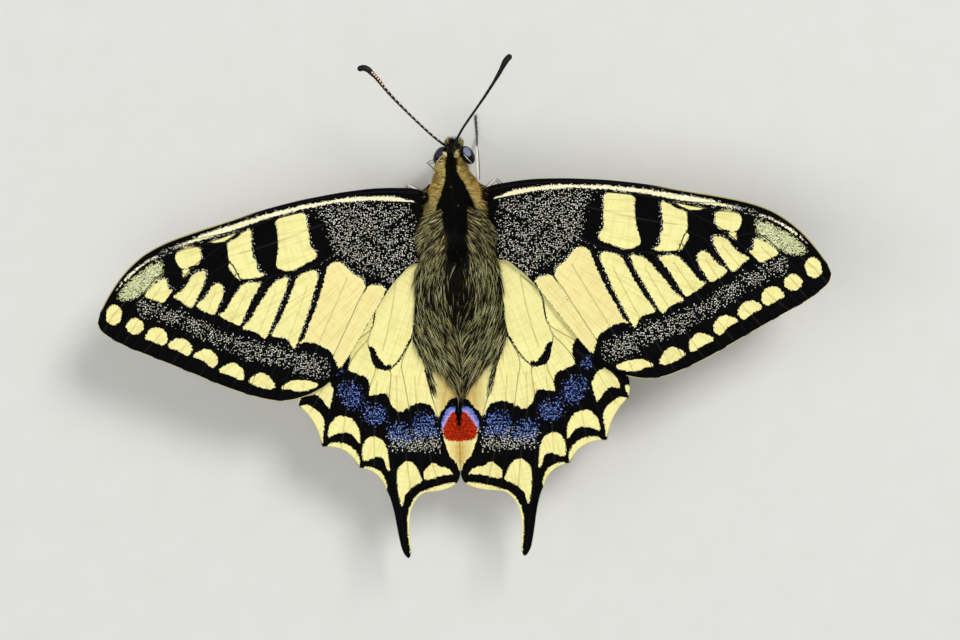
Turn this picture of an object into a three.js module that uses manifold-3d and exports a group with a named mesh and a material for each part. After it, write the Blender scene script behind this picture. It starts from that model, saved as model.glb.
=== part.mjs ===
// Old World swallowtail butterfly at rest with its wings spread flat, as closed solids.
// Millimetres, +Z up. The head looks along -Y, the insect's left side is +X, and the six
// feet stand on z = 0. Places on a side are written as (out, aft): the distance from the
// middle line and the distance behind the front of the wing hinge.
import * as THREE from "three";
import Module from "manifold-3d";

const wasm = await Module();
wasm.setup();

// ---------------------------------------------------------------- driving dimensions

const origin = { x: -0.45, y: 12.15 };    // middle of the insect's box, seen from above
const seam = 0.03;                        // half of the thin cut between two body parts
const cutGap = 0.03;                      // room left where one piece meets another

const wing = {
  thickness: 0.5,
  rootHeight: 9.6,      // of the forewing's middle surface at the hinge
  hingeOut: 3.0,
  hingeAft: 1.0,
  rise: 0.075,          // for each mm outwards
  droop: 0.0009,        // how fast that rise bends over towards the tip
  rearFall: 0.035,      // for each mm towards the tail
  tuck: 0.62,           // the hindwing lies this far under the forewing
  valley: 0.03,         // the hindwings sink towards each other at the middle line
  valleyOut: 5.0,
};
// The wings are held a little unevenly: the left forewing is swept back, and the left
// hindwing is drawn in.
const wingPose = {
  left: { side: 1, sweep: THREE.MathUtils.degToRad(4.8), hindSpan: 0.97 },
  right: { side: -1, sweep: 0, hindSpan: 1 },
};

const eye = { out: 1.36, aft: -3.68, height: 8.45, radius: [0.78, 1.0, 1.12] };
const head = { aft: -3.95, height: 8.3, radius: [1.22, 1.05, 1.22], back: -3.06 };
const proboscis = { aft: -4.3, height: 6.12, outer: 0.85, inner: 0.3, width: 0.5 };

// The trunk, from neck to tail: half width, half height and height of its centre line.
const trunk = [
  { aft: -3.0, halfWidth: 0.95, halfHeight: 1.05, height: 8.25 },
  { aft: -1.7, halfWidth: 1.95, halfHeight: 1.90, height: 8.20 },
  { aft: 0.0, halfWidth: 2.85, halfHeight: 2.70, height: 8.10 },
  { aft: 2.0, halfWidth: 3.10, halfHeight: 3.05, height: 8.00 },
  { aft: 4.0, halfWidth: 2.95, halfHeight: 2.80, height: 7.85 },
  { aft: 6.0, halfWidth: 2.35, halfHeight: 2.30, height: 7.50 },
  { aft: 9.0, halfWidth: 2.30, halfHeight: 2.20, height: 7.20 },
  { aft: 13.0, halfWidth: 2.05, halfHeight: 2.00, height: 6.85 },
  { aft: 17.0, halfWidth: 1.60, halfHeight: 1.60, height: 6.40 },
  { aft: 20.0, halfWidth: 1.05, halfHeight: 1.10, height: 6.00 },
  { aft: 21.6, halfWidth: 0.45, halfHeight: 0.50, height: 5.85 },
];
const prothorax = [-2.95, -1.7];
const mesothorax = [-1.7, 3.6];
const metathorax = [3.6, 6.0];
const abdomen = { from: 6.0, to: 21.6, segments: 7, swell: 0.03 };

const legRadius = { hip: 0.46, knee: 0.31, ankle: 0.27, toe: 0.25 };
// Each leg's hip, knee, ankle and toe. The two sides differ a little, as in life.
const legs = {
  fore_left: [[0.9, -0.6, 6.0], [3.2, -3.05, 5.6], [1.35, -4.1, 1.2], [0.1, -5.6, 0.17]],
  fore_right: [[0.9, -0.6, 6.0], [2.25, -1.15, 5.8], [1.8, -5.0, 1.2], [1.65, -8.3, 0.17]],
  mid_left: [[1.1, 1.6, 5.8], [5.17, -0.9, 6.6], [7.8, 2.0, 1.2], [9.8, 5.6, 0.17]],
  mid_right: [[1.1, 1.6, 5.8], [4.15, -1.2, 6.7], [6.8, 2.1, 1.2], [8.6, 5.9, 0.17]],
  hind_left: [[1.0, 3.8, 5.8], [4.9, 6.6, 6.5], [6.6, 11.4, 1.2], [7.5, 15.9, 0.17]],
  hind_right: [[1.0, 3.8, 5.8], [4.6, 6.9, 6.5], [6.1, 11.8, 1.2], [6.9, 16.3, 0.17]],
};

// The feelers rise gently from the top of the head. Each ends in a club.
const antenna = { shaft: 0.25, club: 0.36, clubFrom: 0.82, steps: 22 };
const antennaLeft = [
  [0.42, -4.2, 9.2], [0.78, -4.62, 9.3], [1.83, -5.5, 9.7], [3.0, -6.6, 10.0],
  [4.99, -8.65, 10.5], [6.48, -10.32, 10.9], [7.49, -11.68, 11.2], [8.01, -12.26, 11.35],
  [8.46, -12.7, 11.45], [8.95, -12.86, 11.5], [9.5, -12.7, 11.5],
];
const antennaRight = [
  [0.3, -4.35, 9.2], [0.31, -5.0, 9.35], [0.93, -6.1, 9.7], [1.69, -7.14, 10.0],
  [3.47, -9.41, 10.6], [4.96, -11.5, 11.1], [5.83, -12.94, 11.4], [6.15, -13.35, 11.3],
  [6.35, -13.6, 10.95],
];

// ---------------------------------------------------------------- solids from points

// A closed solid from points and triangles, turned right side out.
function closedSolid(points, triangles) {
  const normal = new THREE.Vector3();
  let volume = 0;
  for (let t = 0; t < triangles.length; t += 3) {
    const [a, b, c] = [points[triangles[t]], points[triangles[t + 1]], points[triangles[t + 2]]];
    volume += a.dot(normal.crossVectors(b, c));
  }
  const geometry = new THREE.BufferGeometry();
  geometry.setFromPoints(points);
  geometry.setIndex(volume > 0 ? triangles : triangles.slice().reverse());
  return geometry;
}

// Rings of points joined one to the next, each end closed by a fan about its middle.
function loft(rings) {
  const sides = rings[0].length;
  const points = rings.flat();
  const triangles = [];
  for (let ring = 0; ring < rings.length - 1; ring += 1) {
    for (let side = 0; side < sides; side += 1) {
      const here = ring * sides + side;
      const next = ring * sides + (side + 1) % sides;
      triangles.push(here, next, here + sides, next, next + sides, here + sides);
    }
  }
  for (const [ring, first, second] of [[0, 1, 0], [rings.length - 1, 0, 1]]) {
    const middle = points.length;
    const sum = rings[ring].reduce((total, point) => total.add(point), new THREE.Vector3());
    points.push(sum.divideScalar(sides));
    for (let side = 0; side < sides; side += 1) {
      const pair = [ring * sides + side, ring * sides + (side + 1) % sides];
      triangles.push(middle, pair[first], pair[second]);
    }
  }
  return closedSolid(points, triangles);
}

// A plate between a front and a rear edge: straight lines run from one to the other, and
// the top and bottom stand half a thickness above and below the middle surface.
function plate(front, rear, alongSteps, acrossSteps, thickness, place) {
  const points = [];
  for (const half of [thickness / 2, -thickness / 2]) {
    for (const u of alongSteps) {
      const lead = front(u);
      const trail = rear(u);
      for (let step = 0; step <= acrossSteps; step += 1) {
        points.push(place(lead.clone().lerp(trail, step / acrossSteps), half));
      }
    }
  }
  const columns = acrossSteps + 1;
  const rows = alongSteps.length;
  const bottom = rows * columns;
  const triangles = [];
  for (let row = 0; row < rows - 1; row += 1) {
    for (let column = 0; column < acrossSteps; column += 1) {
      const a = row * columns + column;
      const b = a + 1;
      const c = a + columns;
      const d = c + 1;
      triangles.push(a, b, c, b, d, c);
      triangles.push(bottom + a, bottom + c, bottom + b, bottom + b, bottom + c, bottom + d);
    }
  }
  const rim = [];
  for (let column = 0; column < acrossSteps; column += 1) rim.push(column);
  for (let row = 0; row < rows - 1; row += 1) rim.push(row * columns + acrossSteps);
  for (let column = acrossSteps; column > 0; column -= 1) rim.push((rows - 1) * columns + column);
  for (let row = rows - 1; row > 0; row -= 1) rim.push(row * columns);
  rim.forEach((here, index) => {
    const next = rim[(index + 1) % rim.length];
    triangles.push(here, bottom + here, next, next, bottom + here, bottom + next);
  });
  return closedSolid(points, triangles);
}

// A round rod that follows a smooth curve. The radius is a function of the distance run
// along it, from 0 to 1, and what would reach below the floor is pressed flat on it.
function rod(path, radius, steps, sides) {
  const frames = path.computeFrenetFrames(steps, false);
  const rings = [];
  for (let step = 0; step <= steps; step += 1) {
    const middle = path.getPointAt(step / steps);
    const ring = [];
    for (let side = 0; side < sides; side += 1) {
      const angle = 2 * Math.PI * (side + 0.5) / sides;
      const point = middle.clone();
      point.addScaledVector(frames.normals[step], radius(step / steps) * Math.cos(angle));
      point.addScaledVector(frames.binormals[step], radius(step / steps) * Math.sin(angle));
      point.z = Math.max(point.z, 0);
      ring.push(point);
    }
    rings.push(ring);
  }
  return loft(rings);
}

// An egg shape whose long axes lie along X, Y and Z.
function egg([out, aft, height], [radiusX, radiusY, radiusZ], around, rings) {
  const slices = [];
  for (let ring = 0; ring <= rings; ring += 1) {
    const polar = Math.PI * (ring + 0.25) / (rings + 0.5);
    const slice = [];
    for (let side = 0; side < around; side += 1) {
      const angle = 2 * Math.PI * side / around;
      slice.push(new THREE.Vector3(
        out + radiusX * Math.sin(polar) * Math.cos(angle),
        aft - radiusY * Math.cos(polar),
        height + radiusZ * Math.sin(polar) * Math.sin(angle),
      ));
    }
    slices.push(slice);
  }
  return loft(slices);
}

function toManifold(geometry) {
  return new wasm.Manifold(new wasm.Mesh({
    numProp: 3,
    vertProperties: new Float32Array(geometry.attributes.position.array),
    triVerts: new Uint32Array(geometry.index.array),
  }));
}

// The geometry with every tool's solid taken away from it.
function cut(geometry, ...tools) {
  const result = tools.reduce((left, tool) => left.subtract(toManifold(tool)), toManifold(geometry));
  const mesh = result.getMesh();
  const cutGeometry = new THREE.BufferGeometry();
  cutGeometry.setAttribute("position", new THREE.BufferAttribute(mesh.vertProperties, 3));
  cutGeometry.setIndex(new THREE.BufferAttribute(mesh.triVerts, 1));
  return cutGeometry;
}

// ---------------------------------------------------------------- trunk and head

// One measure of the trunk at a place along it: a smooth curve through the stations.
function trunkMeasure(key, aft) {
  const last = trunk.length - 1;
  let index = trunk.findIndex((station) => station.aft >= aft);
  index = index < 0 ? last : Math.max(index, 1);
  const row = (offset) => trunk[THREE.MathUtils.clamp(index + offset, 0, last)];
  const [before, start, end, after] = [row(-2), row(-1), row(0), row(1)];
  const span = end.aft - start.aft;
  const slopeIn = (end[key] - before[key]) / (end.aft - before.aft) * span;
  const slopeOut = (after[key] - start[key]) / (after.aft - start.aft) * span;
  const s = (aft - start.aft) / span;
  return start[key] * (1 + 2 * s) * (1 - s) ** 2 + slopeIn * s * (1 - s) ** 2
    + end[key] * s ** 2 * (3 - 2 * s) + slopeOut * s ** 2 * (s - 1);
}

// The trunk between two places. It is fuller in the middle by swell, and grown on all
// sides by grow.
function trunkPiece(from, to, { steps, swell = 0, grow = 0 }) {
  const sides = 16;
  const rings = [];
  for (let step = 0; step <= steps; step += 1) {
    const s = step / steps;
    const aft = THREE.MathUtils.lerp(from, to, s);
    const full = 1 + swell * Math.sin(Math.PI * s);
    const halfWidth = trunkMeasure("halfWidth", aft) * full + grow;
    const halfHeight = trunkMeasure("halfHeight", aft) * full + grow;
    const height = trunkMeasure("height", aft);
    const ring = [];
    for (let side = 0; side < sides; side += 1) {
      const angle = 2 * Math.PI * (side + 0.5) / sides;
      ring.push(new THREE.Vector3(
        halfWidth * Math.cos(angle), aft, height + halfHeight * Math.sin(angle)));
    }
    rings.push(ring);
  }
  return loft(rings);
}

const trunkStart = trunk[0].aft;
const trunkTool = trunkPiece(trunkStart, abdomen.to, { steps: 40, grow: cutGap });

function headSolid(grow) {
  const { radius, aft, height, back } = head;
  const whole = egg([0, aft, height], radius.map((r) => r + grow), 16, 8);
  const reach = 3;
  const behind = egg([0, back + reach, height], [reach, reach, reach], 12, 8);
  return grow ? whole : cut(whole, behind);
}

function eyeSolid(side, grow) {
  return egg([side * eye.out, eye.aft, eye.height], eye.radius.map((r) => r + grow), 12, 8);
}

// A palp is a short furry finger that curves up in front of the face.
function palp(side) {
  const path = new THREE.CatmullRomCurve3([
    new THREE.Vector3(side * 0.5, -4.3, 7.2),
    new THREE.Vector3(side * 0.52, -5.0, 7.35),
    new THREE.Vector3(side * 0.48, -5.45, 8.0),
    new THREE.Vector3(side * 0.44, -5.55, 8.6),
  ]);
  return rod(path, (s) => 0.36 - 0.12 * s, 6, 8);
}

// The tongue is carried as a flat coil under the face.
function coil() {
  const { outer, inner, width } = proboscis;
  return new THREE.LatheGeometry([
    new THREE.Vector2(inner, -width / 2),
    new THREE.Vector2(outer, -width / 2),
    new THREE.Vector2(outer, width / 2),
    new THREE.Vector2(inner, width / 2),
    new THREE.Vector2(inner, -width / 2),
  ], 16);
}

// ---------------------------------------------------------------- wings

const flat = (points) => new THREE.SplineCurve(points.map(([out, aft]) => new THREE.Vector2(out, aft)));

// A shallow bay between the tips of two veins.
function bay([startOut, startAft], [endOut, endAft], depth) {
  const start = new THREE.Vector2(startOut, startAft);
  const end = new THREE.Vector2(endOut, endAft);
  const along = end.clone().sub(start).normalize();
  const inward = new THREE.Vector2(-along.y, along.x);
  const middle = start.clone().add(end).multiplyScalar(0.5).addScaledVector(inward, -2 * depth);
  return new THREE.QuadraticBezierCurve(start, middle, end);
}

// An edge made of curves in a row. Each is named with the value of u where it ends.
function edge(pieces) {
  return (u) => {
    let from = 0;
    for (const [curve, until] of pieces) {
      if (u <= until) return curve.getPointAt(THREE.MathUtils.clamp((u - from) / (until - from), 0, 1));
      from = until;
    }
    return pieces.at(-1)[0].getPointAt(1);
  };
}

// Values of u in even steps between the stops, so that no corner of an edge is lost.
function spread(stops, counts) {
  const values = [0];
  counts.forEach((count, index) => {
    for (let step = 1; step <= count; step += 1) {
      values.push(THREE.MathUtils.lerp(stops[index], stops[index + 1], step / count));
    }
  });
  return values;
}

const forewing = {
  tornus: 0.46,
  costa: [
    [2.0, 0.3], [3.5, -0.13], [5.8, -0.57], [8.7, -0.8], [12.2, -0.72], [16.3, -0.39], [20.0, 0.15],
    [24.0, 0.95], [27.0, 1.52], [30.2, 2.28], [32.5, 3.15], [34.2, 4.2], [35.8, 5.6],
    [37.3, 7.4], [38.3, 8.95], [38.65, 9.85],
  ],
  innerMargin: [
    [2.0, 4.4], [3.4, 6.3], [4.4, 7.3], [5.7, 7.7], [8.0, 9.9], [13.2, 16.7], [15.2, 18.7],
    [17.4, 19.72],
  ],
  outerMargin: [
    [17.4, 19.72], [19.2, 20.05], [20.9, 19.95], [22.7, 19.42], [25.8, 18.05], [29.8, 15.88],
    [32.9, 14.2], [35.9, 12.6], [37.5, 11.5], [38.2, 10.9], [38.5, 10.45],
  ],
};

// The hindwing's veins end at points on its margin, and one runs out into the tail.
const hindwing = {
  rsEnd: [17.5, 22.0],
  m1End: [15.1, 26.4],
  m2End: [11.15, 28.7],
  tailRootOuter: [8.35, 31.1],
  cuEnd: [4.0, 31.45],
  analAngle: [0.06, 29.7],
  stops: { rs: 0.4, m1: 0.51, m2: 0.62, tail: 0.72 },
  bays: [0.45, 0.8, 0.6],
  costa: [[2.0, 3.9], [3.6, 4.4], [6.0, 5.9], [9.0, 8.6], [14.8, 14.8], [16.7, 17.6], [17.65, 20.3]],
  innerMargin: [[2.0, 5.6], [2.35, 9.0], [2.1, 13.0], [1.65, 17.0], [0.5, 20.3], [0.1, 21.8], [0.06, 24.0]],
  analLobe: [[0.25, 30.35], [0.65, 30.8], [2.0, 31.3]],
  tailOuter: [[7.6, 33.5], [7.35, 35.0], [7.0, 36.9], [6.35, 38.3]],
  tailInner: [[4.75, 31.85], [5.8, 33.4], [6.02, 35.5], [5.9, 38.15]],
};

// The height of the forewing's middle surface: it rises outwards and bends over, and it
// falls a little towards the tail.
function forewingHeight({ x: out, y: aft }) {
  const reach = out - wing.hingeOut;
  return wing.rootHeight + wing.rise * reach - wing.droop * reach ** 2 - wing.rearFall * aft;
}

// The hindwing is tucked under the forewing and sinks towards the middle line.
function hindwingHeight(point) {
  const inside = Math.max(0, wing.valleyOut - point.x);
  return forewingHeight(point) - wing.tuck - wing.valley * inside ** 2;
}

// Where a point of a forewing goes: the wing is swept about its hinge, then set on its side.
function placeForewing({ side, sweep }) {
  const hinge = new THREE.Vector2(wing.hingeOut, wing.hingeAft);
  return (point, offset) => {
    const turned = point.clone().rotateAround(hinge, sweep);
    return new THREE.Vector3(side * turned.x, turned.y, forewingHeight(point) + offset);
  };
}

function placeHindwing({ side, hindSpan }) {
  return (point, offset) => new THREE.Vector3(
    side * hindSpan * point.x, point.y, hindwingHeight(point) + offset);
}

function forewingSolid(pose, thickness) {
  const { costa, innerMargin, outerMargin, tornus } = forewing;
  const front = edge([[flat(costa), 1]]);
  const rear = edge([[flat(innerMargin), tornus], [flat(outerMargin), 1]]);
  const along = spread([0, tornus, 1], [10, 18]);
  return plate(front, rear, along, 7, thickness, placeForewing(pose));
}

function hindwingSolid(pose) {
  const { stops, bays, rsEnd, m1End, m2End, tailRootOuter, cuEnd, analAngle } = hindwing;
  const front = edge([
    [flat([...hindwing.costa, rsEnd]), stops.rs],
    [bay(rsEnd, m1End, -bays[0]), stops.m1],
    [bay(m1End, m2End, -bays[1]), stops.m2],
    [bay(m2End, tailRootOuter, -bays[2]), stops.tail],
    [flat([tailRootOuter, ...hindwing.tailOuter]), 1],
  ]);
  const rear = edge([
    [flat([...hindwing.innerMargin, analAngle]), stops.m2],
    [flat([analAngle, ...hindwing.analLobe, cuEnd]), stops.tail],
    [flat([cuEnd, ...hindwing.tailInner]), 1],
  ]);
  const along = spread([0, stops.rs, stops.m1, stops.m2, stops.tail, 1], [12, 5, 5, 6, 10]);
  return plate(front, rear, along, 6, wing.thickness, placeHindwing(pose));
}

// A tegula is a small scale-covered shield over the hinge of the forewing.
function tegula(pose) {
  const shield = egg([pose.side * 2.75, 0.5, 10.05], [0.95, 1.75, 0.55], 12, 6);
  const wingTool = forewingSolid(pose, wing.thickness + 2 * cutGap);
  return cut(shield, trunkTool, wingTool);
}

// ---------------------------------------------------------------- legs and feelers

// A leg is three rods: thigh, shin and foot. The foot's last stretch lies on the floor.
function legSolids(side, [hip, knee, ankle, toe]) {
  const point = ([out, aft, height]) => new THREE.Vector3(side * out, aft, height);
  const { hip: hipRadius, knee: kneeRadius, ankle: ankleRadius, toe: toeRadius } = legRadius;
  const limb = (from, to, startRadius, endRadius) => {
    const run = to.clone().sub(from);
    const inset = run.clone().normalize().multiplyScalar(kneeRadius * 0.55);
    const line = new THREE.LineCurve3(from.clone().add(inset), to.clone().sub(inset));
    return rod(line, (s) => THREE.MathUtils.lerp(startRadius, endRadius, s), 3, 8);
  };
  const [hipAt, kneeAt, ankleAt, toeAt] = [hip, knee, ankle, toe].map(point);
  const landing = ankleAt.clone().lerp(toeAt, 0.38).setZ(toeAt.z);
  const heel = ankleAt.clone().lerp(toeAt, 0.09).setZ(ankleAt.z * 0.72);
  const footPath = new THREE.CatmullRomCurve3([heel, landing, landing.clone().lerp(toeAt, 0.5), toeAt]);
  return {
    femur: cut(limb(hipAt, kneeAt, hipRadius, kneeRadius), trunkTool),
    tibia: limb(kneeAt, ankleAt, kneeRadius, ankleRadius),
    tarsus: rod(footPath, (s) => THREE.MathUtils.lerp(ankleRadius, toeRadius, s), 6, 8),
  };
}

function antennaSolid(side, points, headTool) {
  const path = new THREE.CatmullRomCurve3(
    points.map(([out, aft, height]) => new THREE.Vector3(side * out, aft, height)));
  const { shaft, club, clubFrom, steps } = antenna;
  const radius = (s) => {
    const along = THREE.MathUtils.smoothstep(s, clubFrom, 0.95);
    return shaft + (club - shaft) * along;
  };
  return cut(rod(path, radius, steps, 6), headTool);
}

// ---------------------------------------------------------------- putting it together

const finishes = {
  blackScale: new THREE.MeshStandardMaterial({ color: 0x17140f, roughness: 0.85 }),
  creamScale: new THREE.MeshStandardMaterial({ color: 0xf4eaa4, roughness: 0.8 }),
  goldenHair: new THREE.MeshStandardMaterial({ color: 0xc9a040, roughness: 0.9 }),
  darkHair: new THREE.MeshStandardMaterial({ color: 0x2a261c, roughness: 0.9 }),
  eyeGloss: new THREE.MeshStandardMaterial({ color: 0x14110f, roughness: 0.25 }),
  legChitin: new THREE.MeshStandardMaterial({ color: 0x4a4332, roughness: 0.5 }),
};

const butterfly = new THREE.Group();
butterfly.position.set(-origin.x, -origin.y, 0);

function add(name, geometry, finish) {
  const mesh = new THREE.Mesh(geometry, finish.clone());
  mesh.name = name;
  butterfly.add(mesh);
  return mesh;
}

function addTrunk() {
  const cutEnds = ([from, to]) => [from + seam, to - seam];
  const collar = trunkPiece(...cutEnds(prothorax), { steps: 3 });
  add("prothorax", cut(collar, eyeSolid(1, cutGap), eyeSolid(-1, cutGap)), finishes.goldenHair);
  add("mesothorax", trunkPiece(...cutEnds(mesothorax), { steps: 7 }), finishes.darkHair);
  add("metathorax", trunkPiece(...cutEnds(metathorax), { steps: 4 }), finishes.darkHair);
  const length = (abdomen.to - abdomen.from) / abdomen.segments;
  for (let segment = 0; segment < abdomen.segments; segment += 1) {
    const ends = cutEnds([abdomen.from + segment * length, abdomen.from + (segment + 1) * length]);
    const shape = { steps: 2, swell: abdomen.swell };
    add(`abdomen_${segment + 1}`, trunkPiece(...ends, shape), finishes.darkHair);
  }
}

function addHead() {
  const sides = { left: 1, right: -1 };
  const headTool = headSolid(cutGap);
  add("head", cut(headSolid(0), eyeSolid(1, cutGap), eyeSolid(-1, cutGap)), finishes.darkHair);
  for (const [label, side] of Object.entries(sides)) {
    add(`eye_${label}`, eyeSolid(side, 0), finishes.eyeGloss);
    add(`palp_${label}`, cut(palp(side), headTool, eyeSolid(side, cutGap)), finishes.creamScale);
  }
  add("antenna_left", antennaSolid(1, antennaLeft, headTool), finishes.blackScale);
  add("antenna_right", antennaSolid(-1, antennaRight, headTool), finishes.blackScale);
  const tongue = add("proboscis", coil(), finishes.legChitin);
  tongue.rotation.z = Math.PI / 2;
  tongue.position.set(0, proboscis.aft, proboscis.height);
}

function addWings() {
  for (const [label, pose] of Object.entries(wingPose)) {
    const fore = forewingSolid(pose, wing.thickness);
    add(`forewing_${label}`, cut(fore, trunkTool), finishes.creamScale);
    add(`hindwing_${label}`, cut(hindwingSolid(pose), trunkTool), finishes.creamScale);
    add(`tegula_${label}`, tegula(pose), finishes.goldenHair);
  }
}

function addLegs() {
  for (const [label, joints] of Object.entries(legs)) {
    const side = label.endsWith("left") ? 1 : -1;
    const pieces = legSolids(side, joints);
    for (const [part, geometry] of Object.entries(pieces)) {
      add(`${part}_${label}`, geometry, finishes.legChitin);
    }
  }
}

addTrunk();
addHead();
addWings();
addLegs();

export default butterfly;
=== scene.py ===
"""Swallowtail butterfly, a life-size museum model resting with its wings spread flat.

Places on the insect are written in millimetres as (out, aft): out from its middle line and
aft of the front of the wing hinges. Heights are above the floor. Side +1 is its left.
"""
import math

import bpy
import numpy as np
from mathutils import Matrix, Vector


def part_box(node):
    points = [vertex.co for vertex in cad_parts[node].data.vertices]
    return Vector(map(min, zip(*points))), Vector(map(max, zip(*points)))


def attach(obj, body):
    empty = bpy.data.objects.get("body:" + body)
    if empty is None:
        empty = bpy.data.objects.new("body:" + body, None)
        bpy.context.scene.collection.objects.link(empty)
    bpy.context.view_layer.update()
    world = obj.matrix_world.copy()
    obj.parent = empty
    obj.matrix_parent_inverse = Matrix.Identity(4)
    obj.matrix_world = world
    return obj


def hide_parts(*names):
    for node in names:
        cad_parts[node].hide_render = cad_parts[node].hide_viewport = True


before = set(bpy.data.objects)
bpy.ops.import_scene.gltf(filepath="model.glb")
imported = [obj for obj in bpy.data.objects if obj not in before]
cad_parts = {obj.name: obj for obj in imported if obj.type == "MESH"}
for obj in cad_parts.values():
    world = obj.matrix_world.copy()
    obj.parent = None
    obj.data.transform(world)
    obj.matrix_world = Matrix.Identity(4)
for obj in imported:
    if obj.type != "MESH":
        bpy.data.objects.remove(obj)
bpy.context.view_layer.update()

# ------------------------------------------------------------------- show case and camera
# The model stands on a pale matt table top under broad soft lamps, in a pale room. The
# camera looks down on it from nearly overhead, leaning a little to the insect's right.
MM = 0.001
camera_aim = np.array([-1.88, 1.44, 9.5]) * MM
camera_distance = 277 * MM
camera_lean = math.radians(5.0)
camera_roll = math.radians(1.6)
mm_across_picture = 99.84

camera = bpy.data.objects.new("camera", bpy.data.cameras.new("camera"))
bpy.context.scene.collection.objects.link(camera)
bpy.context.scene.camera = camera
backward = np.array([-math.sin(camera_lean), 0, math.cos(camera_lean)])
level = np.array([-math.cos(camera_lean), 0, -math.sin(camera_lean)])
upright = np.array([0, -1.0, 0])
rightward = level * math.cos(camera_roll) - upright * math.sin(camera_roll)
upward = level * math.sin(camera_roll) + upright * math.cos(camera_roll)
camera_pose = np.eye(4)
camera_pose[:3, :4] = np.stack(
    [rightward, upward, backward, camera_aim + backward * camera_distance], 1)
camera.matrix_world = Matrix(camera_pose)
camera.data.lens = camera.data.sensor_width * camera_distance / (mm_across_picture * MM)
camera.data.clip_start = 0.01
camera.data.dof.use_dof = False
bpy.context.scene.view_settings.view_transform = "Standard"


def unit(rows):
    """Vectors scaled to length 1, one for each row."""
    return rows / np.linalg.norm(rows, axis=-1, keepdims=True)


def hang_lamp(name, place, size, watts):
    """A square area lamp at a place, in metres, that faces the model."""
    lamp = bpy.data.objects.new(name, bpy.data.lights.new(name, "AREA"))
    lamp.data.size = size
    lamp.data.energy = watts
    bpy.context.scene.collection.objects.link(lamp)
    away = unit(np.array(place))
    across = unit(np.cross([0, 1.0, 0], away))
    pose = np.eye(4)
    pose[:3, :4] = np.stack([across, np.cross(away, across), away, place], 1)
    lamp.matrix_world = Matrix(pose)


hang_lamp("key_lamp", (-0.55, -0.50, 0.90), 0.40, 7.7)
hang_lamp("fill_lamp", (0.75, 0.10, 0.75), 0.7, 2.6)
hang_lamp("top_lamp", (0.05, 0.35, 1.1), 0.8, 3.2)
room = bpy.data.worlds.new("room")
bpy.context.scene.world = room
room.use_nodes = True
room.node_tree.nodes["Background"].inputs["Color"].default_value = (0.93, 0.95, 1.0, 1)
room.node_tree.nodes["Background"].inputs["Strength"].default_value = 0.32


def paint(code):
    """The linear colour of a six-digit paint code."""
    parts = np.array([int(code[i:i + 2], 16) for i in (0, 2, 4)]) / 255
    linear = np.where(parts <= 0.04045, parts / 12.92, ((parts + 0.055) / 1.055) ** 2.4)
    return (*(float(part) for part in linear), 1.0)


def arithmetic(operation, swapped=False):
    """An operator that adds a Math node with this operation."""
    def act(self, other):
        pair = (other, self) if swapped else (self, other)
        return self.node("ShaderNodeMath", {"operation": operation}, dict(enumerate(pair)))
    return act


class Tone:
    """A socket in a material's node tree. Arithmetic on it adds Math nodes."""

    __add__ = __radd__ = arithmetic("ADD")
    __mul__ = __rmul__ = arithmetic("MULTIPLY")
    __sub__, __rsub__ = arithmetic("SUBTRACT"), arithmetic("SUBTRACT", True)
    __gt__, __or__, __and__ = map(arithmetic, ("GREATER_THAN", "MAXIMUM", "MINIMUM"))

    def __init__(self, tree, socket=None):
        self.tree = tree
        self.socket = socket

    def node(self, kind, settings, sockets, output=0):
        """Adds a node: its settings first, then the value or link of each socket."""
        made = self.tree.nodes.new(kind)
        for setting, value in settings.items():
            setattr(made, setting, value)
        for key, value in sockets.items():
            if isinstance(value, Tone):
                self.tree.links.new(value.socket, made.inputs[key])
            else:
                made.inputs[key].default_value = value
        return Tone(self.tree, made.outputs[output] if made.outputs else None)

    def also(self, output):
        """Another output of the node that this socket belongs to."""
        return Tone(self.tree, self.socket.node.outputs[output])

    def within(self, low, high):
        """0 below low, 1 above high, and a smooth climb in between."""
        settings = {"interpolation_type": "SMOOTHSTEP"}
        return self.node("ShaderNodeMapRange", settings, {0: self, 1: low, 2: high})

    def mixed(self, factor, under, over):
        """Colour under where factor is 0, colour over where it is 1. Each may be a code."""
        under, over = (paint(one) if isinstance(one, str) else one for one in (under, over))
        return self.node("ShaderNodeMix", {"data_type": "RGBA"}, {0: factor, 6: under, 7: over}, 2)

    def layered(self, colour, *layers):
        """A colour with others mixed over it, one after another, each by its share."""
        for share, over in layers:
            colour = self.mixed(share, colour, over)
        return colour

    def attribute(self, name):
        """A number that the mesh holds at each of its points."""
        return self.node("ShaderNodeAttribute", {"attribute_name": name}, {}, "Fac")


def new_finish(name):
    """An empty material, and the Tone that adds nodes to it."""
    material = bpy.data.materials.new(name)
    material.use_nodes = True
    material.node_tree.nodes.clear()
    return material, Tone(material.node_tree)


def surface(tone, sockets):
    """Closes a material with one Principled shader that has these sockets."""
    shader = tone.node("ShaderNodeBsdfPrincipled", {}, sockets)
    tone.node("ShaderNodeOutputMaterial", {}, {"Surface": shader})


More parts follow.
